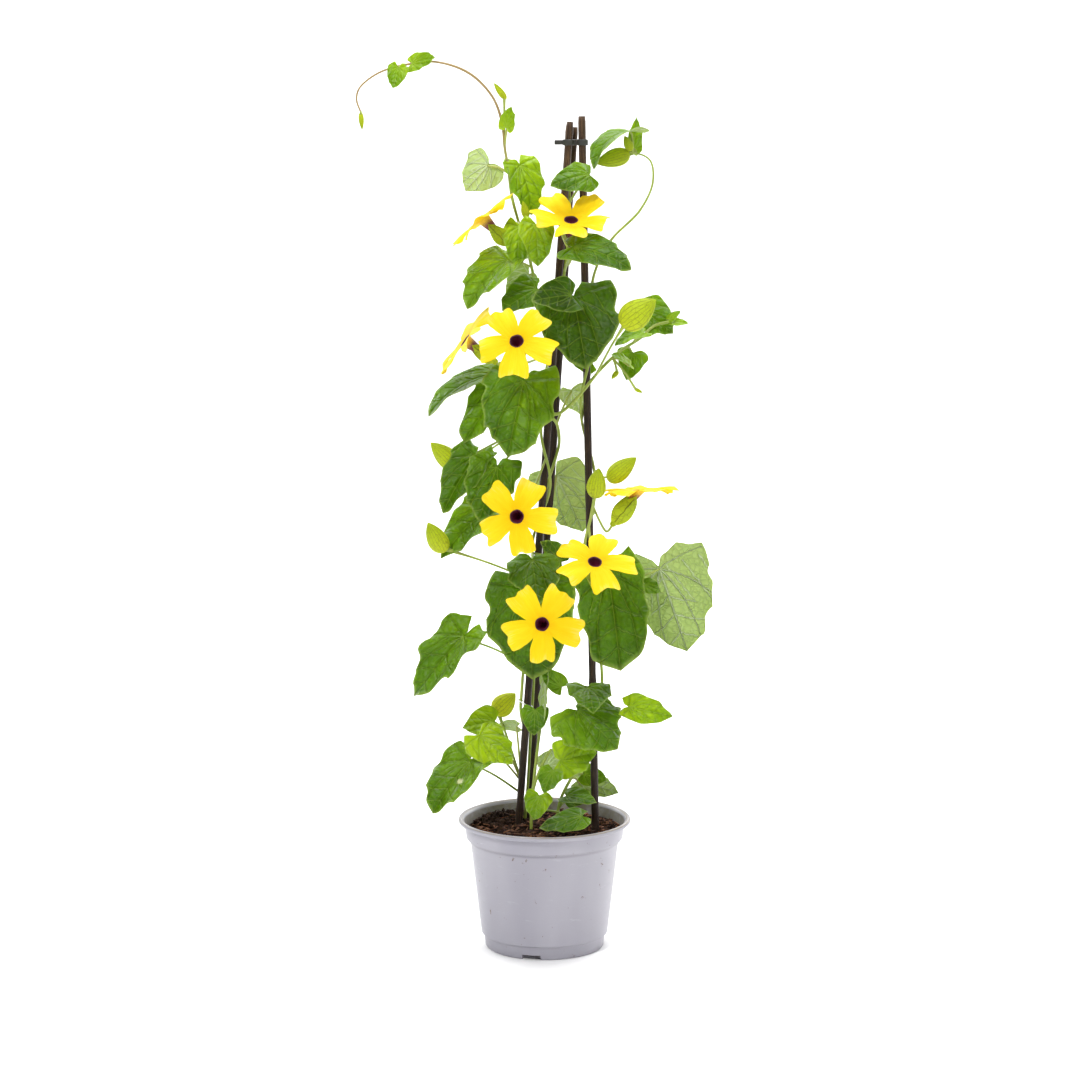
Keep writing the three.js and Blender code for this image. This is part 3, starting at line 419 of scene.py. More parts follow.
def add_tube(bm, path, radius, sides, look=(0, 0, 0), material=0):
    """A closed round tube along a path. The radius is one number or one for each point of the path."""
    tangents = np.gradient(path, axis=0)
    tangents /= np.linalg.norm(tangents, axis=1, keepdims=True)
    side = unit(np.cross(tangents[0], UP if abs(tangents[0][2]) < 0.9 else vec((1, 0, 0))))
    sides_along = []
    for tangent in tangents:
        side = unit(side - tangent * side.dot(tangent))
        sides_along.append(side)
    first = np.array(sides_along)
    second = np.cross(tangents, first)
    radii = np.broadcast_to(np.asarray(radius, dtype=float), len(path))
    centre = np.vstack([path[:1], path, path[-1:]])
    first = np.vstack([first[:1], first, first[-1:]])
    second = np.vstack([second[:1], second, second[-1:]])
    radii = np.concatenate([[0], radii, [0]])
    length = np.concatenate([[0], np.cumsum(np.linalg.norm(np.diff(centre, axis=0), axis=1))])
    rows = len(centre) - 1

    def surface(u, v):
        row = row_of(v, rows)
        angle = FULL_TURN * u
        out = first[row] * np.cos(angle)[:, None] + second[row] * np.sin(angle)[:, None]
        points = centre[row] + out * radii[row][:, None]
        flat = columns(np.cos(angle), np.sin(angle), length[row])
        return points, flat

    return add_sheet(bm, sides, rows, surface, look, material, weld=0.002)


# ---------------------------------------------------------------- leaves, pods and stalks


class Blade:
    """A leaf's curved surface. a runs along it from the stalk's end to the tip and b across it."""

    def __init__(self, at, tip, face, wide, bend, fold, twist=0):
        self.start = vec(at)
        along = vec(tip) - self.start
        self.chord = np.linalg.norm(along)
        self.along = along / self.chord
        self.normal = facing(face, self.along)
        self.across = np.cross(self.normal, self.along)
        self.arc = math.radians(bend) or 1e-3
        self.length = self.chord * self.arc / 2 / math.sin(self.arc / 2)
        self.wide, self.lift, self.turn = wide, math.radians(fold), math.radians(twist)

    def place(self, a, b):
        slope = self.arc / 2 - self.arc * a
        reach = self.length / self.arc * (math.sin(self.arc / 2) - np.sin(slope))
        rise = self.length / self.arc * (np.cos(slope) - math.cos(self.arc / 2))
        cos, sin = np.cos(slope)[:, None], np.sin(slope)[:, None]
        tangent = self.along * cos + self.normal * sin
        angle = (self.turn * np.maximum(a, 0))[:, None]
        side = self.across * np.cos(angle) + np.cross(tangent, self.across) * np.sin(angle)
        upward = np.cross(tangent, side)
        width = (b * self.wide * self.length)[:, None]
        crease = np.sqrt(width**2 + 1) - 1
        return (self.start + self.along * reach[:, None] + self.normal * rise[:, None]
                + side * width * math.cos(self.lift) + upward * crease * math.sin(self.lift))

    def skin(self, a, b, lift):
        """Points lifted off the blade along its own normal."""
        return self.place(a, b) + across_normal(self.place, a, b, 0.01) * lift[:, None]


def leaf_outline(half, seed, blunt, teeth, per_step=7):
    """The closed edge as (a, b) points: rounded between the given points, with uneven sharp teeth."""
    draw = seeded(seed)

    def uneven(point, side):
        grow = 1 + 0.1 * (next(draw) - 0.5)
        fuller = point[1] + blunt * max(0, point[0] - 0.3)
        return point[0] * grow, fuller * side * grow

    left = [uneven(p, 1) for p in half]
    right = [uneven(p, -1) for p in half][::-1]
    edge = []
    for run in ([LEAF_TIP, *left, LEAF_NOTCH], [LEAF_NOTCH, *right, LEAF_TIP]):
        for p0, p1, p2, p3 in fours(run):
            for t in np.arange(per_step) / per_step:
                edge.append(0.5 * (2 * p1 + (p2 - p0) * t + (2 * p0 - 5 * p1 + 4 * p2 - p3) * t**2
                                   + (3 * p1 - p0 - 3 * p2 + p3) * t**3))
    edge = np.array(edge)
    soft = sum(np.roll(edge, shift, axis=0) for shift in range(-3, 4)) / 7
    off_tip = np.clip((0.9 - edge[:, :1]) / 0.15, 0, 1)
    hold = off_tip * np.clip((np.hypot(*edge.T)[:, None] - 0.1) / 0.2, 0, 1)
    edge = edge + (soft - edge) * hold * 0.8
    along = np.roll(edge, -1, axis=0) - np.roll(edge, 1, axis=0)
    out = columns(along[:, 1], -along[:, 0])
    out /= np.maximum(np.linalg.norm(out, axis=1, keepdims=True), 1e-6)
    out *= np.sign((out * edge).sum(axis=1, keepdims=True))
    tooth = np.zeros(len(edge))
    place = 3
    while place < len(edge) - 3:
        reach = round(3 + 3 * next(draw))
        high = 0.35 + 0.9 * next(draw)
        for step in range(-reach, reach + 1):
            k = min(max(place + step, 0), len(edge) - 1)
            tooth[k] = max(tooth[k], high * (1 - abs(step) / (reach + 0.5)) ** 1.6)
        place += reach + round(2 + 4 * next(draw))
    edge = edge + out * (tooth[:, None] - 0.3) * teeth * hold
    return np.vstack([edge, edge[:1]])


def add_skins(bm, blade, outline, rings, lift_at, look, material):
    """The upper and lower skins of a leaf or bract and the edge between them."""
    count = len(outline) - 1
    verts = []
    for under in (0, 1):

        def surface(u, v):
            edge = outline[row_of(u, count)]
            a, b = edge[:, 0] * v, edge[:, 1] * v
            half = (BLADE / 2) * np.ones_like(v)
            points = blade.skin(a, b, lift_at(a, b, FULL_TURN * u, v) + (-half if under else half))
            return points, columns(b * blade.wide, a, round(blade.length) + 0.9 * v)

        verts += add_sheet(bm, count, rings, surface, (look[0], max(under, look[2]), look[1]), material)
    close_rim(bm, verts, material)


def add_leaf(bm, row, seed, tone, kind, material):
    """One leaf. Its look is its tone and a chance value, and it has a few broad waves and puffs."""
    at, tip, face, wide, bend, fold, *rest = row
    twist, blunt = [*rest, 0, 0][:2]
    blade = Blade(at, tip, face, wide, bend, fold, twist)
    small = blade.chord < SMALL_LEAF
    chance = np.random.default_rng(seed)
    outline = leaf_outline(SMALL_HALF if small else LEAF_HALF, seed, blunt, chance.uniform(*TEETH))
    phase, ripple = chance.uniform(0, 6.28), chance.uniform(1.0, 2.0)
    skew, spot = chance.uniform(-1, 1), chance.uniform() + (kind == "s")

    def lift_at(a, b, turn, v):
        wave = ripple * v**2.5 * (np.sin(5 * turn + phase) + 0.6 * np.sin(9 * turn + 2 * phase))
        cup = skew * (b**2 - 0.3 * v) * 1.5
        droop = -1.1 * np.maximum(0, v - 0.7) * np.abs(np.sin(turn))
        spread = np.arctan2(np.abs(b) * wide, a)
        grooves = sum(np.exp(-((spread - vein) / 0.13) ** 2) for vein, _, _ in FAN)
        puff = 1.9 * v * (1 - v**3) * (0.6 - grooves)
        return (0.014 * wave + 0.010 * cup + 0.02 * droop + 0.012 * puff) * blade.length

    rings = SMALL_RINGS if small else LEAF_RINGS
    add_skins(bm, blade, outline, rings, lift_at, (tone, spot, kind == "p"), material)


def add_pod(bm, start, tip, face, width, seed, tone, material):
    """A closed pair of bracts round a bud: two domed faces that meet in a ridge down each side."""
    base, end = vec(start), vec(tip)
    length = np.linalg.norm(end - base)
    along = (end - base) / length
    normal = facing(face, along)
    across = np.cross(along, normal)

    def surface(u, v):
        angle = FULL_TURN * u
        t = (1 - np.cos(np.pi * v)) / 2
        girth = 2.42 * t**0.5 * (1 - t) ** 0.85
        wide = np.sign(np.cos(angle)) * np.abs(np.cos(angle)) ** 0.8
        deep = np.sin(angle) * (1 - 0.35 * np.abs(np.cos(angle)) ** 3)
        bow = 0.05 * length * np.sin(np.pi * t)
        points = (base + along * (length * t)[:, None]
                  + across * (wide * girth * width / 2)[:, None]
                  + normal * (deep * girth * width / 3.4 + bow * 0.3)[:, None])
        flat = columns(wide, t, np.full_like(t, length))
        return points, flat

    add_sheet(bm, *POD_GRID, surface, (tone, 0, (seed * 0.37) % 1), material)


def stalk_path(root, end, behind):
    middle = (root + end) / 2 + UP * 1.5 - behind
    points = [root, middle, end - behind * 2, end] if behind.any() else [root, middle, end]
    return smooth_path(points)


def nearest(paths, point):
    found = np.vstack(paths)
    return found[np.argmin(np.linalg.norm(found - vec(point), axis=1))]


STEM, LEAF, POD = 0, 1, 2  # a shoot's material slots
GREEN = 0.6  # tone of flower stalks and bracts
POD_TONE = 0.7  # tone of a shoot's pods, unless it has its own
SPECIAL = {"p": 0.4, "s": 0.5}
SCAR = (0.137, 0.37)  # where the scar is, across and along the leaf


def add_stalk(bm, path, girth, tone=GREEN):
    add_tube(bm, path, STALK_R * girth, STALK_SIDES, (tone, 0, 0), STEM)


def add_seat(bm, bloom, root):
    """The green seat behind a bloom's tube, its two bracts and the flower stalk."""
    tail = unit(vec(bloom["tail"]))
    tube_long, bract = bloom.get("tube", BLOOM["tube"]), bloom.get("bract", BRACT["length"])
    seat = vec(bloom["eye"]) + tail * (tube_long + 0.3 + BRACT["seat"])
    add_pod(bm, seat + tail * 3, seat - tail * 4, (0.1, -1, 0.1), 5, 1, GREEN, POD)
    across = unit(np.cross(tail, UP))
    for side in (1, -1):
        out = across * side
        start = seat + out * 1.6
        tip = seat - tail * bract + out * BRACT["spread"]
        blade = Blade(start, tip, out, 0.3, 35, -22)
        outline = leaf_outline(BRACT_HALF, 3, 0, 0, per_step=8)
        add_skins(bm, blade, outline, BRACT_RINGS, lambda a, b, turn, v: 0.02 * blade.length * (v - 1),
                  (GREEN, 0.3, 0), POD)
    back = seat + tail * 8
    middle = (root + back) / 2 - UP * 2
    path = smooth_path([root, middle, back, seat])
    add_stalk(bm, path, np.linspace(1, 1.25, len(path)))


def make_shoot(name, shoot, number, materials):
    bm = new_mesh()
    paths = [smooth_path(points) for points in shoot["stems"]]
    for path in paths:
        share = np.linspace(0, 1, len(path))
        end_r = 0.55 if path[-1][2] > FINE_END_Z else 0.85
        radius = STEM_R * (1 + (end_r - 1) * share**2) * (1 + 0.05 * np.sin(share * 40))
        add_tube(bm, path, radius, STEM_SIDES, (0.5, float(name == RUNNER), 0), STEM)
    for i, row in enumerate(shoot["leaves"]):
        near, at, _, face, *_ = row
        kind = shoot["tones"][i]
        tone = SPECIAL[kind] if kind in SPECIAL else int(kind) / 9
        behind = unit(vec(face))
        path = stalk_path(nearest(paths, near), vec(at), behind)
        add_stalk(bm, path, np.linspace(1.1, 0.85, len(path)), tone)
        add_leaf(bm, row[1:], number * 31 + i, tone, kind, LEAF)
    for i, (near, start, tip, face, width) in enumerate(shoot.get("pods", [])):
        inside = vec(start) * 0.85 + vec(tip) * 0.15
        path = stalk_path(nearest(paths, near), inside, np.zeros(3))
        swell = np.clip((np.linspace(0, 1, len(path)) - 0.6) / 0.4, 0, 1) ** 2 * min(1.0, width / 14)
        add_stalk(bm, path, 1 + 1.3 * swell)
        add_pod(bm, start, tip, face, width, number + i, shoot.get("pod_tone", POD_TONE), POD)
    for key in shoot.get("blooms", []):
        add_seat(bm, BLOOMS[key], nearest(paths, BLOOMS[key]["root"]))
    return finish_piece(bm, name + "_foliage", materials, [name])


# ---------------------------------------------------------------- blooms

PETALS = 5
# What differs from petal to petal, drawn in this order: where its edge is notched, how far it leans to one
# side and curls, where its waves start, and how many degrees fuller and more turned it is.
PETAL_CHANCE = {"notch": (-0.3, 0.3), "lean": (-1, 1), "curl": (-1.8, 1.6), "phase": (0, 6.28),
                "full": (-3, 2), "skew": (-2, 2)}
PETAL_HALF_DEG = 36
PETAL_GRID = (26, 22)
PETAL_NECK = 0.38  # how far out the petals part, as a share of the bloom's radius
RAISED = {"bloom_1": 6}  # how far a bloom's petals bend up to their tips


def bloom_axes(bloom):
    normal = unit(vec(bloom["face"]))
    up = facing(UP, normal)
    angle = math.radians(-bloom["spin"])
    first = up * math.cos(angle) + np.cross(normal, up) * math.sin(angle)
    return normal, first, np.cross(normal, first)


def make_petals(name, bloom, number, material):
    """Five broad lobes round the eye, joined near it. Each has a wavy, two-horned outer edge."""
    normal, first, second = bloom_axes(bloom)
    eye, radius = vec(bloom["eye"]), BLOOM["r"]
    draw = seeded(number)
    chance = np.random.default_rng(number)
    bm = new_mesh()
    inner, neck = BLOOM["eye_r"] - 0.3, PETAL_NECK * radius
    joined = 0.4  # share of a petal's rows that lie inside the neck
    spot = chance.uniform()
    lobes = []
    for petal in range(PETALS):
        lobe = {"turn": petal * 360 / PETALS, "size": 0.95 + 0.09 * next(draw)}
        lobes.append(lobe | {key: chance.uniform(*span) for key, span in PETAL_CHANCE.items()})
    verts = []
    for under in (0, 1):
        skin = []
        for lobe in lobes:

            def place(u, v):
                s = 2 * u - 1
                horns = 0.11 * np.abs(s) ** 2 - 0.18 * np.abs(s) ** 9
                notch = 0.04 * np.exp(-((s - lobe["notch"]) / 0.22) ** 2)
                waves = 0.018 * np.sin(7 * s + lobe["phase"])
                reach = radius * lobe["size"] * (0.915 + horns - notch + 0.035 * lobe["lean"] * s + waves)
                within = np.clip(v / joined, 0, 1)
                beyond = np.clip((v - joined) / (1 - joined), 0, 1)
                rho = inner + (neck - inner) * within + (reach - neck) * beyond
                share = rho / radius
                half = PETAL_HALF_DEG + (lobe["full"] - 10.5) * beyond**0.8 - 2 * beyond**3
                wavy = 1.2 * np.sin(2.6 * beyond * np.pi + lobe["phase"])
                half = half + wavy * beyond * (1 - beyond) * 2
                angle = np.radians(lobe["turn"] + s * half + lobe["skew"] * beyond)
                height = BLOOM["cup"] * np.sin(np.pi * 0.8 * share) + 0.12 * share * np.cos(14 * s)
                height += (lobe["curl"] - 3.0 * s**2) * beyond**1.6 + lobe["lean"] * s * beyond * 2.4
                height += 1.0 * beyond * np.sin(4.5 * s + lobe["phase"]) + RAISED.get(name, 0) * beyond
                return (eye + first * (rho * np.cos(angle))[:, None]
                        + second * (rho * np.sin(angle))[:, None] + normal * height[:, None])

            def surface(u, v):
                thick = BLADE / 2 * np.clip(v / 0.06, 0, 1)
                lift = across_normal(place, u, v) * thick[:, None]
                points = place(u, v) + (-lift if under else lift)
                return points, columns(2 * u - 1, v, np.full_like(u, lobe["turn"] / 72))

            skin += add_sheet(bm, *PETAL_GRID, surface, (0.5, under, spot))
        bmesh.ops.remove_doubles(bm, verts=skin, dist=0.05)
        verts += [vert for vert in skin if vert.is_valid]
    bmesh.ops.remove_doubles(bm, verts=verts, dist=0.01)
    close_rim(bm, [vert for vert in verts if vert.is_valid])
    return finish_piece(bm, name + "_limb", [material], [name + "_petals"])


def make_throat(name, bloom, material):
    """The funnel behind the eye, open at the front, with a small pale knob inside."""
    normal, first, second = bloom_axes(bloom)
    tail, eye = unit(vec(bloom["tail"])), vec(bloom["eye"])
    long = bloom.get("tube", BLOOM["tube"])
    lip = BLOOM["cup"] * math.sin(math.pi * 0.8 * BLOOM["eye_r"] / BLOOM["r"]) + 0.25
    rim = BLOOM["eye_r"]
    profile = [(0, -long), (BLOOM["tube_end_r"], -long), (BLOOM["tube_end_r"] + 0.2, -long + 3),
               (2.6, -long * 0.6), (3.4, -8), (4.3, -3), (rim, lip - 0.5), (rim + 0.1, lip),
               (rim - 0.5, lip), (4, -2), (2.6, -8), (1.6, -12), (0, -15)]
    dense = []
    for (r0, h0), (r1, h1) in zip(profile, profile[1:]):
        dense += [(r0 + (r1 - r0) * t / 3, h0 + (h1 - h0) * t / 3) for t in range(3)]
    dense = np.array(dense + [profile[-1]])
    inside = (np.arange(len(dense)) >= 20).astype(float)  # from just before the lip
    rows = len(dense) - 1

    def surface(u, v):
        row = row_of(v, rows)
        r, depth = dense[row, 0], dense[row, 1]
        angle = FULL_TURN * u
        r = r * (1 + 0.03 * np.cos(5 * angle))
        centre = np.where(depth[:, None] < 0, tail * -depth[:, None], normal * depth[:, None])
        out = second * (r * np.cos(angle))[:, None] + first * (r * np.sin(angle))[:, None]
        return eye + centre + out, columns(inside[row], -depth / long, angle)

    bm = new_mesh()
    add_sheet(bm, 32, rows, surface)
    return finish_piece(bm, name + "_tube", [material], [name + "_throat"])


# ---------------------------------------------------------------- finishes


def operator(operation, reflected=False):
    """A method of Value that adds one Math node."""

    def method(self, other):
        return self.math(operation, *((other, self) if reflected else (self, other)))

    return method


class Value:
    """A shader output that can be used in sums. Each operator adds its Math node."""

    def __init__(self, finish, socket):
        self.finish, self.socket = finish, socket

    def math(self, operation, *values, clamp=False):
        settings = {"operation": operation, "use_clamp": clamp}
        return self.finish.node("Math", settings, dict(enumerate(values)))

    __add__, __radd__ = operator("ADD"), operator("ADD", reflected=True)
    __sub__, __rsub__ = operator("SUBTRACT"), operator("SUBTRACT", reflected=True)
    __mul__, __rmul__ = operator("MULTIPLY"), operator("MULTIPLY", reflected=True)
    __truediv__, __rtruediv__ = operator("DIVIDE"), operator("DIVIDE", reflected=True)
    __pow__, high, above = operator("POWER"), operator("MAXIMUM"), operator("GREATER_THAN")

    def __abs__(self):
        return self.math("ABSOLUTE", self)

    def fract(self):
        return self.math("FRACT", self)

    def clamp(self):
        return self.math("ADD", self, 0.0, clamp=True)

    def spread(self, low, high, to_low=0.0, to_high=1.0):
        """Runs smoothly from to_low to to_high as the value goes from low to high."""
        return self.finish.node("MapRange", {"interpolation_type": "SMOOTHSTEP"},
                                {0: self, 1: low, 2: high, 3: to_low, 4: to_high})


class Finish:
    """A material under construction. Every node comes from node()."""

    def __init__(self, name):
        self.material = bpy.data.materials.new(name)
        self.material.use_nodes = True
        self.tree = self.material.node_tree
        self.tree.nodes.clear()

    def node(self, kind, settings=None, inputs=None, output=0):
        made = self.tree.nodes.new("ShaderNode" + kind)
        for key, setting in (settings or {}).items():
            if key == "stops":
                elements = made.color_ramp.elements
                while len(elements) < len(setting):
                    elements.new(0.5)
                for element, (place, *colour) in zip(elements, setting):
                    element.position, element.color = place, (*colour, 1)
            else:
                setattr(made, key, setting)
        for key, given in (inputs or {}).items():
            if isinstance(given, Value):
                self.tree.links.new(given.socket, made.inputs[key])
            else:
                made.inputs[key].default_value = given
        return Value(self, made.outputs[output]) if made.outputs else None

    def parts(self, vector):
        split = self.node("SeparateXYZ", {}, {0: vector}).socket.node
        return [Value(self, socket) for socket in split.outputs]

    def attribute(self, name):
        return self.parts(self.node("Attribute", {"attribute_name": name}, output="Vector"))

    def place(self):
        return self.node("TexCoord", output="Object")

    def join(self, x, y, z):
        return self.node("CombineXYZ", {}, {0: x, 1: y, 2: z})

    def noise(self, where, scale, detail, rough=0.5):
        inputs = {"Vector": where, "Scale": scale, "Detail": detail, "Roughness": rough}
        return self.node("TexNoise", {}, inputs)

    def mix(self, factor, first, second, kind="MIX"):
        shades = [(*c, 1) if isinstance(c, tuple) else c for c in (first, second)]
        settings = {"data_type": "RGBA", "blend_type": kind}
        return self.node("Mix", settings, {0: factor, 6: shades[0], 7: shades[1]}, 2)

    def ramp(self, value, *stops):
        """A colour ramp. Each stop is a place, red, green and blue."""
        return self.node("ValToRGB", {"stops": stops}, {0: value})

    def bump(self, height, distance, strength):
        return self.node("Bump", {}, {"Height": height, "Distance": distance, "Strength": strength})

    def net(self, where, scale):
        """The distance to the nearest side of a net of uneven cells."""
        return self.node("TexVoronoi", {"feature": "DISTANCE_TO_EDGE"}, {"Vector": where, "Scale": scale})

    def stretch(self, where, high):
        return self.node("Mapping", {}, {"Vector": where, "Scale": (1.0, 1.0, high)})

    def surface(self, colour, roughness, relief=None, specular=0.5, through=None, share=0.0):
        """Closes the material. relief is a bump's height, distance and strength. through is the colour
        of the light that comes through a thin part, and share is how much of it there is."""
        normal = {"Normal": self.bump(*relief)} if relief else {}
        shader = self.node("BsdfPrincipled", {}, {
            "Base Color": colour, "Roughness": roughness, "Specular IOR Level": specular} | normal)
        if through:
            glow = self.node("BsdfTranslucent", {}, {"Color": (*through, 1)} | normal)
            shader = self.node("MixShader", {}, {0: share, 1: shader, 2: glow})
        self.node("OutputMaterial", {}, {"Surface": shader})
        return self.material


def line(distance, width):
    """1 on a line and 0 away from it."""
    return distance.spread(0.0, width, 1.0, 0.0)


def side_veins(run, count, size):
    """How far it is to the nearest of the evenly spaced lines across run."""
    return abs((run * count).fract() - 0.5) / count * size * 0.8


def leaf_finish():
    """Green above with thin light veins pressed in, paler below with raised ones."""
    f = Finish("leaf")
    x, y, size = f.attribute("flat")
    tone, under, chance = f.attribute("look")
    edge = size.fract() / 0.9
    ax = abs(x)
    shift = f.join(x * size * 0.25 + chance * 40, y * size * 0.25, chance * 9)
    wander = (f.noise(shift, 0.8, 2.0) - 0.5) * 0.035
    main = None
    for angle, bow, width in FAN:
        run = ax * math.sin(angle) + y * math.cos(angle)
        aside = ax * math.cos(angle) - y * math.sin(angle) + bow * run * run
        off = abs(aside + wander * min(angle * 4, 1)) * size
        thin = (width * (1.0 - run * 0.7)).high(0.25) * (1.0 + under * 0.6)
        mask = line(off, thin) * run.above(0.0)
        soft = line(off, 2.4) * run.above(0.0)
        main, valley = (mask, soft) if main is None else (main.high(mask), valley.high(soft))
    # Side veins leave the midrib and the first fan vein like a feather.
    q = y - ax * 0.8 + ax * ax * 0.9 + wander * 1.5
    gap = side_veins(q, 4.6, size)
    inner = (y * math.tan(FAN[1][0]) - ax).above(0.0) * q.above(0.1)
    q2 = ax - y * 0.35 + wander * 1.5
    gap2 = side_veins(q2, 5.2, size)
    outer = (1.0 - inner) * y.above(-0.02)
    thin = 0.55 + under * 0.4
    feather = (line(gap, thin) * inner).high(line(gap2, thin) * outer * 0.9)
    hollow = (line(gap, 1.5) * inner).high(line(gap2, 1.4) * outer * 0.8)
    net = f.net(shift, 0.9)
    mesh = line(net, 0.07)
    puff = net.spread(0.0, 0.5)
    veins = main.high(feather * 0.8)
    blotch = f.noise(shift, 0.3, 3.0)
    grain = f.noise(shift, 8.0, 4.0, 0.6)
    # Painted light and shade: x times the chance value makes one half of each leaf lighter and the other
    # half darker.
    shade = tone + (blotch - 0.5) * 0.5 + x * (chance.fract() - 0.5) * 0.7 + (grain - 0.5) * 0.16
    # Painted light and shade: the puffed cells of the net are lighter in the middle and darker at their
    # edges.
    shade = (shade + (0.35 - y) * 0.26 + (puff - 0.5) * 0.14).clamp()
    top = f.ramp(shade, (0, 0.012, 0.045, 0.001), (0.33, 0.07, 0.182, 0.001), (0.6, 0.175, 0.34, 0.002),
        (1, 0.44, 0.63, 0.006))
    # Painted shade: the top is darkened in the grooves beside the veins and between the side veins.
    top = f.mix(valley.high(hollow) * (0.62 - tone * 0.3), top, (0.5, 0.62, 0.4), "MULTIPLY")
    top = f.mix(veins.high(mesh * 0.22) * 0.55, top, (0.32, 0.48, 0.05))
    bottom = f.ramp(shade, (0, 0.33, 0.46, 0.14), (0.5, 0.47, 0.6, 0.2), (1, 0.64, 0.76, 0.32))
    # Painted shade: the underside is darkened in the hollows between the side veins.
    bottom = f.mix(hollow * 0.4, bottom, (0.6, 0.7, 0.5), "MULTIPLY")
    bottom = f.mix(veins.high(mesh * 0.18) * 0.85, bottom, (0.76, 0.84, 0.58))
    colour = f.mix(under, top, bottom)
    # Painted rim light: the outermost share of each blade is mixed towards a pale green.
    colour = f.mix(edge.spread(0.93, 1.0) * 0.5, colour, (0.44, 0.58, 0.12))
    away = ((x - SCAR[0]) * (x - SCAR[0]) + (y - SCAR[1]) * (y - SCAR[1])) ** 0.5
    scar = (away + (grain - 0.5) * 0.14).spread(0.035, 0.055, 1.0, 0.0) * chance.above(1.0)
    colour = f.mix(scar, colour, (0.78, 0.78, 0.42))
    sunk = puff * 0.34 - main * 0.3 - valley * 0.55 - feather * 0.15 - hollow * 0.42 + grain * 0.08
    raised = main * 1.0 + feather * 0.7 + mesh * 0.2 - puff * 0.3 - hollow * 0.2 + grain * 0.08
    height = (sunk * (1.0 - under) + raised * under) * (size / 60.0 - 0.1).clamp()
    rough = 0.34 + under * 0.24 + (grain - 0.5) * 0.14 + (blotch - 0.5) * 0.16
    return f.surface(colour, rough, (height, 0.0021, 1.0), 0.26, (0.42, 0.60, 0.006), 0.30)


def stem_finish():
    f = Finish("stem")
    tone, runner, _ = f.attribute("look")
    _, _, along = f.attribute("flat")
    where = f.place()
    blotch = f.noise(where, 60.0, 3.0)
    grain = f.noise(where, 900.0, 2.0)
    colour = f.ramp((tone * 0.6 + blotch * 0.5).clamp(), (0.1, 0.13, 0.19, 0.03),
        (0.5, 0.26, 0.35, 0.045), (0.75, 0.38, 0.44, 0.09), (1, 0.42, 0.37, 0.14))
    colour = f.mix(runner * along.spread(110.0, 170.0) * 0.85, colour, (0.33, 0.20, 0.09))
    return f.surface(colour, 0.5 + (grain - 0.5) * 0.2, (grain, 0.0002, 0.5))


def pod_finish():
    """Yellow-green bracts with dark veins that run from base to tip, joined by a fine net."""
    f = Finish("bract")
    x, t, _ = f.attribute("flat")
    tone, _, chance = f.attribute("look")
    shift = f.join(x * 2.2 + chance * 20, t * 4.0, chance * 7)
    wander = (f.noise(shift, 1.3, 2.0) - 0.5) * 0.12
    step = abs(((x + wander) * 3.4 + 0.5).fract() - 0.5)
    strong = line(step, 0.09) * t.spread(0.0, 0.1) * t.spread(0.88, 1.0, 1.0, 0.0)
    fine = line(f.net(shift, 1.7), 0.05)
    grain = f.noise(shift, 12.0, 3.0)
    base = f.ramp((tone + (grain - 0.5) * 0.3 + (0.5 - t) * 0.25).clamp(), (0, 0.12, 0.26, 0.006),
        (0.6, 0.46, 0.58, 0.014), (1, 0.76, 0.8, 0.03))
    veins = (strong * 0.85).high(fine * 0.5)
    colour = f.mix(veins, base, (0.055, 0.050, 0.008))
    height = strong * 0.5 + fine * 0.25 + grain * 0.15
    return f.surface(colour, 0.5, (height, 0.0006, 0.7), 0.25, (0.55, 0.65, 0.01), 0.24)


def petal_finish():
    f = Finish("petal")
    s, v, petal = f.attribute("flat")
    _, _, chance = f.attribute("look")
    shift = f.join(s * 9.0 + chance * 30, v * 1.6, petal * 3.0)
    streak = f.noise(shift, 1.6, 3.0, 0.6)
    ray = f.noise(f.join(s * 26.0, v * 1.2, chance * 9), 1.0, 2.0)
    cloud = f.noise(f.join(s * 1.5 + chance * 9, v * 1.5, petal), 1.2, 2.0)
    colour = f.ramp((v * 0.5 + cloud * 0.5 + (streak - 0.5) * 0.5).clamp(), (0, 0.95, 0.56, 0.001),
        (0.35, 0.96, 0.69, 0.002), (0.68, 0.97, 0.79, 0.015), (1, 0.98, 0.9, 0.22))
    # Painted shade: an orange band darkens the petals right round the eye.
    colour = f.mix(v.spread(0.0, 0.07, 0.5, 0.0), colour, (0.75, 0.36, 0.0))
    height = ray * 0.6 + streak * 0.7
    return f.surface(colour, 0.6, (height, 0.0006, 0.7), 0.15, (1.0, 0.74, 0.004), 0.30)


def throat_finish():
    """Dark maroon within, purple-brown outside, and greenish yellow where the tube flares."""
    f = Finish("throat")
    inside, deep, angle = f.attribute("flat")
    grain = f.noise(f.join(angle * 3.0, deep * 12.0, 0.0), 3.0, 3.0)
    outside = f.ramp((deep + (grain - 0.5) * 0.35).clamp(), (0.04, 0.85, 0.55, 0.02),
        (0.2, 0.2, 0.06, 0.06), (0.7, 0.11, 0.025, 0.05), (1, 0.25, 0.28, 0.06))
    # Painted light: the inside grows lighter further down, to make up for the shade deep in the funnel.
    within = f.ramp((deep * 2.2 + (grain - 0.5) * 0.4).clamp(), (0, 0.06, 0.005, 0.015),
        (0.3, 0.14, 0.011, 0.04), (1, 0.3, 0.025, 0.085))
    colour = f.mix(inside, outside, within)
    return f.surface(colour, 0.62 + (grain - 0.5) * 0.3, (grain, 0.0004, 0.5))


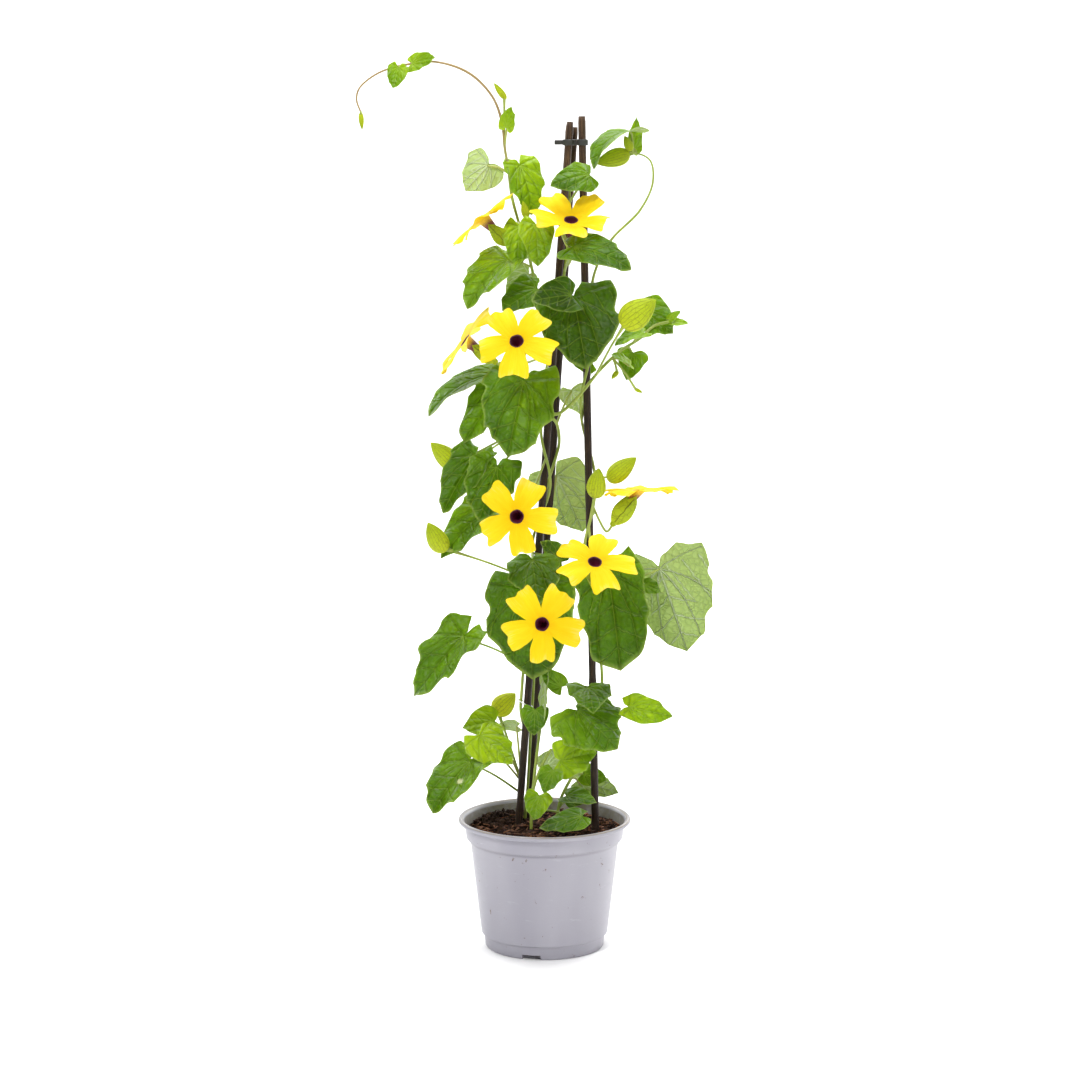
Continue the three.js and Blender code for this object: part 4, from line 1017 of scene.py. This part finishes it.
def cane_finish():
    """Bamboo dyed nearly black, worn to brown in streaks and paler at the top."""
    f = Finish("cane")
    cos, sin, along = f.attribute("flat")
    _, _, chance = f.attribute("look")
    where = f.join(cos * 1.6 + chance * 9, sin * 1.6, along * 0.012)
    streak = f.noise(where, 5.0, 5.0, 0.65)
    fine = f.noise(f.join(cos * 7.0, sin * 7.0, along * 0.03), 6.0, 4.0, 0.7)
    worn = (streak * 0.75 + fine * 0.35 + along.spread(380.0, 600.0) * 0.09).clamp()
    colour = f.ramp(worn, (0.34, 0.006, 0.005, 0.006), (0.54, 0.018, 0.011, 0.008),
        (0.67, 0.08, 0.042, 0.02), (0.86, 0.25, 0.155, 0.075))
    return f.surface(colour, 0.38 + fine * 0.25, (streak + fine * 0.6, 0.0005, 0.6), 0.25)


def pot_finish():
    """Thin pale grey moulded plastic with faint flow marks, scuffs, soil on its lip and inner wall, and
    painted shadow under the rim band.
    """
    f = Finish("pot_plastic")
    where = f.place()
    x, y, z = f.parts(where)
    high = z * 1000.0
    out = (x * x + y * y) ** 0.5 * 1000.0
    flow = f.noise(f.stretch(where, 0.25), 18.0, 3.0)
    speck = f.noise(where, 420.0, 2.0)
    scuff = f.noise(f.stretch(where, 6.0), 60.0, 4.0, 0.7)
    dirt = f.noise(where, 160.0, 3.0, 0.7)
    colour = f.ramp(flow, (0.3, 0.305, 0.297, 0.345), (0.7, 0.385, 0.375, 0.422))
    colour = f.mix(scuff.spread(0.60, 0.75, 0.0, 0.4), colour, (0.52, 0.515, 0.56))
    # Painted shadow: a dark line where the rim band steps out from the body.
    step = abs(high - BAND_Z).spread(0.4, 2.4, 0.35, 0.0)
    colour = f.mix(step, colour, (0.16, 0.15, 0.17))
    within = (58.83 + (high - 85.0) * 0.133 - out).above(0.0) * high.above(84.0)  # inside the rim band
    colour = f.mix(within * dirt.spread(0.3, 0.6, 0.35, 0.8), colour, (0.20, 0.175, 0.13))
    lip = abs(high - LIP_Z).spread(0.1, 0.7, 1.0, 0.0) * flow.spread(0.3, 0.6, 0.35, 0.85)
    colour = f.mix(lip, colour, (0.22, 0.18, 0.13))
    spots = dirt.spread(0.67, 0.71) * 0.8
    colour = f.mix(spots, colour, (0.16, 0.11, 0.08))
    height = flow * 0.4 + speck * 0.25 + spots
    return f.surface(colour, 0.38 + (scuff - 0.5) * 0.3, (height, 0.0003, 0.35), 0.35)


def soil_finish():
    f = Finish("soil_mix")
    where = f.place()
    clod = f.noise(where, 110.0, 6.0, 0.7)
    fine = f.noise(where, 700.0, 4.0, 0.7)
    colour = f.ramp((clod * 0.6 + fine * 0.45).clamp(), (0.3, 0.006, 0.003, 0.003),
        (0.5, 0.026, 0.013, 0.009), (0.72, 0.105, 0.055, 0.032))
    return f.surface(colour, 0.95, (clod + fine * 0.6, 0.004, 0.9), 0.1)


def bark_finish():
    f = Finish("bark_fibre")
    chance, _, _ = f.attribute("look")
    where = f.place()
    grain = f.noise(where, 420.0, 4.0, 0.7)
    colour = f.ramp((chance * 0.75 + (grain - 0.5) * 0.5).clamp(), (0, 0.015, 0.007, 0.005),
        (0.4, 0.075, 0.03, 0.017), (0.75, 0.24, 0.105, 0.05), (1, 0.52, 0.32, 0.18))
    return f.surface(colour, 0.85, (grain, 0.0008, 0.7), 0.2)


def plain_finish(name, colour):
    f = Finish(name)
    grain = f.noise(f.place(), 300.0, 3.0)
    dark = tuple(c * 0.7 for c in colour)
    return f.surface(f.mix(grain, dark, colour), 0.45 + (grain - 0.5) * 0.15, (grain, 0.0002, 0.4))


# ---------------------------------------------------------------- canes, pot, soil and fittings

CANE_ROWS, CANE_SIDES = 160, 28
JOINTS, JOINT_GAP = 6, (95, 150)


def make_cane(name, cane, number, material):
    """A bamboo cane: slightly swollen joints, a faint ripple in its thickness and a cut top."""
    top, direction = vec(cane["top"]), unit(vec(cane["top"]) - vec(cane["soil"]))
    along = np.linspace(0, CANE_LENGTH, CANE_ROWS + 1)
    path = top - direction * CANE_LENGTH + direction * along[:, None]
    chance = np.random.default_rng(number)
    joints = np.cumsum(chance.uniform(*JOINT_GAP, JOINTS)) - 40
    radius = np.full(CANE_ROWS + 1, CANE_R * 0.97)
    for joint in joints:
        radius += 0.28 * np.exp(-((along - joint) / 3.5) ** 2)
        radius -= 0.14 * np.exp(-((along - joint - 6) / 5) ** 2)
    radius += 0.05 * np.sin(along * 0.05 + number)
    radius[0] -= 0.3
    radius[-1] -= 0.35
    bm = new_mesh()
    add_tube(bm, path, radius, CANE_SIDES, (0, 0, number * 0.31))
    return finish_piece(bm, name + "_bamboo", [material], [name])


def spun(bm, profile, steps):
    """A closed profile of (radius, height) points spun once round the z axis."""
    verts = [bm.verts.new((r, 0, z)) for r, z in profile]
    edges = [bm.edges.new(pair) for pair in zip(verts, verts[1:])]
    bmesh.ops.spin(bm, geom=verts + edges, cent=(0, 0, 0), axis=(0, 0, 1), angle=FULL_TURN, steps=steps,
                   use_merge=True)
    bmesh.ops.remove_doubles(bm, verts=bm.verts[:], dist=0.002)


POT_PROFILE = [
    (0, 2.0), (40, 2.0), (43.0, 2.3), (44.2, 3.4), (46.1, 11.6), (54.7, 82.6), (57.0, 83.6), (58.4, 85),
    (60.2, 95.9), (61.2, 97.6), (62.2, 98.5), (63.4, 98.8), (64.5, 98.3), (65, 97.1), (64.7, 95.9),
    (63.8, 95.3), (60.9, 94.9), (60.2, 94.2), (59.2, 84.4), (58.4, 83.1), (56.6, 82.5), (56, 81.6),
    (47.7, 11.0), (47.1, 10.3), (46.1, 9.9), (45.75, 9.2), (44.7, 1.0), (44.3, 0.3), (43.5, 0), (34, 0),
    (32, 1.0), (0, 1.0),
]
POT_STEPS = 144
SHARP_DEG = 32
SLOTS, SLOT_DEG, SLOT_R, SLOT_SIZE = 3, -102.8, 44.7, (10, 14, 7)  # the drain slots in the foot


def make_pot(material):
    bm = new_mesh()
    spun(bm, POT_PROFILE, POT_STEPS)
    bmesh.ops.recalc_face_normals(bm, faces=bm.faces[:])
    for face in bm.faces:
        face.smooth = True
    piece = finish_piece(bm, "nursery_pot", [material], ["pot"])
    cutters = bmesh.new()
    size = Matrix.Diagonal([side * MM for side in SLOT_SIZE] + [1])
    for i in range(SLOTS):
        turn = Matrix.Rotation(math.radians(SLOT_DEG + i * 360 / SLOTS), 4, "Z")
        shape = turn @ Matrix.Translation((SLOT_R * MM, 0, 0)) @ size
        bmesh.ops.create_cube(cutters, size=1, matrix=shape)
    tool = add_mesh("drain_cutters", cutters)
    cut = piece.modifiers.new("drain", "BOOLEAN")
    cut.object, cut.operation, cut.solver = tool, "DIFFERENCE", "EXACT"
    graph = bpy.context.evaluated_depsgraph_get()
    result = bpy.data.meshes.new_from_object(piece.evaluated_get(graph))
    piece.modifiers.clear()
    piece.data = result
    bpy.data.objects.remove(tool)
    for polygon in result.polygons:
        polygon.use_smooth = True
    result.set_sharp_from_angle(angle=math.radians(SHARP_DEG))
    return piece


def soil_lift(x, y):
    lumps = np.sin(x * 0.31 + 1) * np.cos(y * 0.27) + 0.5 * np.sin(x * 0.7 - y * 0.5)
    away = np.hypot(x + 34, y - 26) / 20
    clods = np.abs(np.sin(x * 0.55 + 2 * np.sin(y * 0.4)) * np.sin(y * 0.6 + np.sin(x * 0.5))) ** 0.6
    return 1.2 * lumps + (2.6 + 2.4 * clods) * np.exp(-away * away)


def soil_rough(x, y):
    """Crumbs on top of the broad lumps, in millimetres."""
    return (soil_lift(x, y) + 1.0 * np.sin(x * 1.3 + 2 * np.sin(y * 0.9)) * np.cos(y * 1.1)
            + 0.7 * np.sin(x * 2.9 + y * 1.7) * np.sin(y * 2.6 - x)
            + 0.35 * np.sin(x * 5.1) * np.sin(y * 4.7))


def add_crumb(bm, chance, x, y, fibre):
    """A loose bit of bark on the mix: a bent fibre or a small chip."""
    z = SOIL_LEVEL + float(soil_rough(np.array(x), np.array(y))) + chance.uniform(0.0, 1.0)
    look = (chance.random(), chance.random(), 0)
    turn = chance.uniform(0, FULL_TURN)
    if fibre:
        long, bow = chance.choice([4, 6, 8, 11, 15]) * chance.uniform(0.7, 1.2), chance.uniform(-0.25, 0.25)
        rise = chance.gauss(0, 0.15)
        path = []
        for t in (-0.5, -0.2, 0.15, 0.5):
            away, side = t * long, bow * long * (0.25 - t * t)
            path.append((x + away * math.cos(turn) - side * math.sin(turn),
                         y + away * math.sin(turn) + side * math.cos(turn), z + 0.5 + rise * away))
        path = vec([p for p in path if math.hypot(p[0], p[1]) < SOIL_EDGE_R - 1.5])
        if len(path) > 2:
            add_tube(bm, path, chance.uniform(0.2, 0.6), 5, look, 1)
        return
    size = (chance.uniform(1.5, 5), chance.uniform(1, 2.6), chance.uniform(0.5, 1.2))
    tilt = Matrix.Rotation(chance.gauss(0, 0.4), 4, "Y") @ Matrix.Rotation(chance.gauss(0, 0.4), 4, "X")
    stand = Matrix.Translation((x, y, z)) @ Matrix.Rotation(turn, 4, "Z")
    shape = stand @ tilt @ Matrix.Diagonal((*size, 1))
    chip = bmesh.ops.create_cube(bm, size=1, matrix=shape)["verts"]
    for vert in chip:
        vert.co += Vector((chance.gauss(0, 0.35), chance.gauss(0, 0.35), chance.gauss(0, 0.15)))
        vert[layers(bm)[1]] = look
    for face in faces_of(chip):
        face.material_index = 1


SOIL_GRID = (170, 90)
CRUMBS, CLODS = 1000, 300
# Round patches on the mix as x, y and radius: where crumbs are few, and where the heap's clods lie.
BARE, HEAP = (-30, 22, 22), (-31, 20, 23)
# The sides of the mix follow the inside of the pot.
SOIL_DOWN = [0, 0.1, 0.2, 0.9, 1]
SOIL_SIDE_R = [58.8, 57.6, 53.8, 45.2, 42.6]
SOIL_SIDE_Z = [89, 85.3, 82.8, 11.8, 2.3]


def add_clod(bm, chance, x, y, r):
    """A dark uneven lump, half sunk in the mix."""
    z = SOIL_LEVEL + float(soil_rough(np.array(x), np.array(y))) + r * 0.2
    shape = Matrix.Translation((x, y, z)) @ Matrix.Rotation(chance.uniform(0, 6.28), 4, "Z")
    lump = bmesh.ops.create_icosphere(bm, subdivisions=2, radius=r, matrix=shape)["verts"]
    for vert in lump:
        away = vert.co - Vector((x, y, z))
        vert.co += away * chance.uniform(-0.38, 0.38)


def make_soil(material, fibre):
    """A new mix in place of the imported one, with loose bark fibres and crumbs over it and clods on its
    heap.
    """
    bm = new_mesh()

    def surface(u, v):
        angle = FULL_TURN * u
        top = v <= 0.8
        down = np.clip((v - 0.8) / 0.2, 0, 1)
        r = np.where(top, v / 0.8 * SOIL_EDGE_R, np.interp(down, SOIL_DOWN, SOIL_SIDE_R))
        z = np.where(top, SOIL_LEVEL, np.interp(down, SOIL_DOWN, SOIL_SIDE_Z))
        x, y = r * np.cos(angle), r * np.sin(angle)
        inside = np.clip((SOIL_EDGE_R - r) / 3, 0, 1) * top
        z = z + soil_rough(x, y) * inside
        return columns(x, y, z), np.zeros((len(u), 3))

    add_sheet(bm, *SOIL_GRID, surface)
    open_edges = [edge for edge in bm.edges if edge.is_boundary]
    bmesh.ops.holes_fill(bm, edges=open_edges)
    chance = random.Random(7)
    for i in range(CRUMBS):
        r = SOIL_EDGE_R * math.sqrt(chance.random()) * 0.95
        angle = chance.uniform(0, FULL_TURN)
        x, y = r * math.cos(angle), r * math.sin(angle)
        heaped = math.hypot(x - BARE[0], y - BARE[1]) < BARE[2]
        if math.hypot(x, y) < SOIL_EDGE_R - 3 and (not heaped or i % 4 == 0):
            add_crumb(bm, chance, x, y, fibre=i % 2 == 0)
    for _ in range(CLODS):
        away, angle = HEAP[2] * math.sqrt(chance.random()), chance.uniform(0, FULL_TURN)
        x, y = away * math.cos(angle) + HEAP[0], away * math.sin(angle) + HEAP[1]
        if math.hypot(x, y) < SOIL_EDGE_R - 4:
            add_clod(bm, chance, x, y, chance.uniform(0.7, 2.2))
    return finish_piece(bm, "potting_mix", [material, fibre], ["soil"])


# The clip: how round its corners are, its collars' radius and height, the size of the bars between
# them, and its lug at the left.
CLIP_BEVEL = 0.5
COLLAR_R, COLLAR_HIGH = 4.4, 4.4
BAR_DEEP, BAR_HIGH, BAR_SHORTER = 2.4, 4.2, 7
LUG_AT, LUG_SIZE = (-6.5, 0, 0), (7.6, 3, 3.4)


def add_ring(bm, centre, inner, outer, height):
    """A collar with rounded corners round an upright axis."""
    soft = CLIP_BEVEL
    profile = [(inner, -height / 2), (outer - soft, -height / 2), (outer, -height / 2 + soft),
               (outer, height / 2 - soft), (outer - soft, height / 2), (inner, height / 2),
               (inner, -height / 2)]
    rows = len(profile) - 1

    def surface(u, v):
        row = row_of(v, rows)
        r, z = np.array(profile)[row, 0], np.array(profile)[row, 1]
        angle = FULL_TURN * u
        return columns(r * np.cos(angle), r * np.sin(angle), z) + centre, np.zeros((len(u), 3))

    ring = add_sheet(bm, 32, rows, surface)
    for face in faces_of(ring):
        face.smooth = False


def add_block(bm, centre, size, turn=0.0):
    shape = Matrix.Translation(centre) @ Matrix.Rotation(turn, 4, "Z") @ Matrix.Diagonal((*size, 1))
    made = bmesh.ops.create_cube(bm, size=1, matrix=shape)["verts"]
    edges = list({edge for vert in made for edge in vert.link_edges})
    bmesh.ops.bevel(bm, geom=edges, offset=CLIP_BEVEL, segments=2, profile=0.5, affect="EDGES", material=-1)


def make_clip(material):
    bm = new_mesh()
    axes = [cane_at(cane, CLIP_Z) for cane in CANES.values()]
    for axis in axes:
        add_ring(bm, axis, CANE_R + 0.1, COLLAR_R, COLLAR_HIGH)
    for p, q in ((0, 1), (0, 2), (1, 2)):
        span = axes[q] - axes[p]
        length = float(np.hypot(span[0], span[1])) - BAR_SHORTER
        if length > 1.5:
            turn = math.atan2(span[1], span[0])
            add_block(bm, (axes[p] + axes[q]) / 2, (length, BAR_DEEP, BAR_HIGH), turn)
    add_block(bm, axes[0] + vec(LUG_AT), LUG_SIZE)
    return finish_piece(bm, "cane_clip_moulding", [material], ["cane_clip"])


def make_tie(material):
    cane = cane_at(CANES["cane_left"], TIE_Z)
    reach = CANE_R + STEM_R * 2 + 1
    long, deep = (reach + CANE_R) / 2 + 0.8, CANE_R + 1.7
    angle = np.linspace(0, FULL_TURN, TIE_POINTS)
    centre = cane - vec(((reach - CANE_R) / 2, 0, 0))
    path = columns(np.cos(angle) * long, np.sin(angle) * deep, -TIE_TILT * np.cos(angle))
    bm = new_mesh()
    add_tube(bm, path + centre, TIE_WIRE_R, STEM_SIDES)
    return finish_piece(bm, "twist_tie_wire", [material], ["twist_tie"])


# ---------------------------------------------------------------- assembly

greens = [stem_finish(), leaf_finish(), pod_finish()]
for number, (name, shoot) in enumerate(SHOOTS.items(), 1):
    make_shoot(name, shoot, number, greens)

petal, maroon = petal_finish(), throat_finish()
for number, (name, bloom) in enumerate(BLOOMS.items(), 1):
    make_petals(name, bloom, number, petal)
    make_throat(name, bloom, maroon)

bamboo = cane_finish()
for number, (name, cane) in enumerate(CANES.items(), 1):
    make_cane(name, cane, number, bamboo)
make_pot(pot_finish())
make_soil(soil_finish(), bark_finish())
make_clip(plain_finish("clip_plastic", (0.040, 0.040, 0.034)))
make_tie(plain_finish("tie_coating", (0.85, 0.85, 0.83)))

# ---------------------------------------------------------------- floor, light and camera


# The floor's width and length, how far it comes forward, where it starts to bend and how wide, in metres.
FLOOR_WIDE, FLOOR_LONG, FLOOR_FRONT, FLOOR_FLAT, FLOOR_BEND = 16, 14, 4, 8, 2


def make_floor():
    """A pale floor that curves up into a wall far behind."""
    bm = new_mesh()

    def surface(u, v):
        run = v * FLOOR_LONG
        turn = np.clip((run - FLOOR_FLAT) / FLOOR_BEND, 0, 1) * np.pi / 2
        y = np.where(run < FLOOR_FLAT, run, FLOOR_FLAT + FLOOR_BEND * np.sin(turn)) - FLOOR_FRONT
        z = np.where(turn < np.pi / 2, FLOOR_BEND * (1 - np.cos(turn)), run - FLOOR_FLAT)
        return columns((u - 0.5) * FLOOR_WIDE, y, z), np.zeros((len(u), 3))

    add_sheet(bm, 4, 84, surface)
    floor = add_mesh("studio_floor", bm)
    f = Finish("studio_paper")
    grain = f.noise(f.place(), 3.0, 2.0)
    colour = f.mix(grain, (0.90, 0.90, 0.90), (0.94, 0.94, 0.94))
    floor.data.materials.append(f.surface(colour, 0.9))


def add_light(name, place, aim, size, power):
    lamp = bpy.data.lights.new(name, "AREA")
    lamp.size, lamp.energy = size, power
    light = add_object(name, lamp)
    light.location = place
    light.rotation_euler = (Vector(aim) - Vector(place)).to_track_quat("-Z", "Y").to_euler()


make_floor()
MIDDLE = (0, 0, 0.36)  # the plant's middle, in metres
add_light("key_soft", (-0.9, -1.7, 1.9), MIDDLE, 0.45, 33)
add_light("fill_soft", (1.7, -1.4, 0.8), MIDDLE, 1.2, 11)
add_light("back_left", (-1.3, 1.4, 1.2), MIDDLE, 1.2, 26)
add_light("back_right", (1.3, 1.4, 1.1), MIDDLE, 1.2, 26)
add_light("top_soft", (0.2, -0.3, 2.2), MIDDLE, 0.8, 24)
add_light("wall_wash", (0, 2.2, 4.5), (0, 6, 1.0), 3.0, 420)

WORLD_STRENGTH = 0.16
world = bpy.data.worlds.new("studio")
world.use_nodes = True
for socket, value in zip(world.node_tree.nodes["Background"].inputs, ((1, 1, 1, 1), WORLD_STRENGTH)):
    socket.default_value = value
bpy.context.scene.world = world
bpy.context.scene.view_settings.view_transform = "Standard"

CAMERA_AT = (-3.4, -2200, 641)
CAMERA_TILT_DEG = 8.56
LENS, SENSOR = 99.7, 36
camera = add_object("camera", bpy.data.cameras.new("camera"))
camera.data.lens, camera.data.sensor_width = LENS, SENSOR
camera.location = [value * MM for value in CAMERA_AT]
camera.rotation_euler = (math.radians(90 - CAMERA_TILT_DEG), 0, 0)
bpy.context.scene.camera = camera
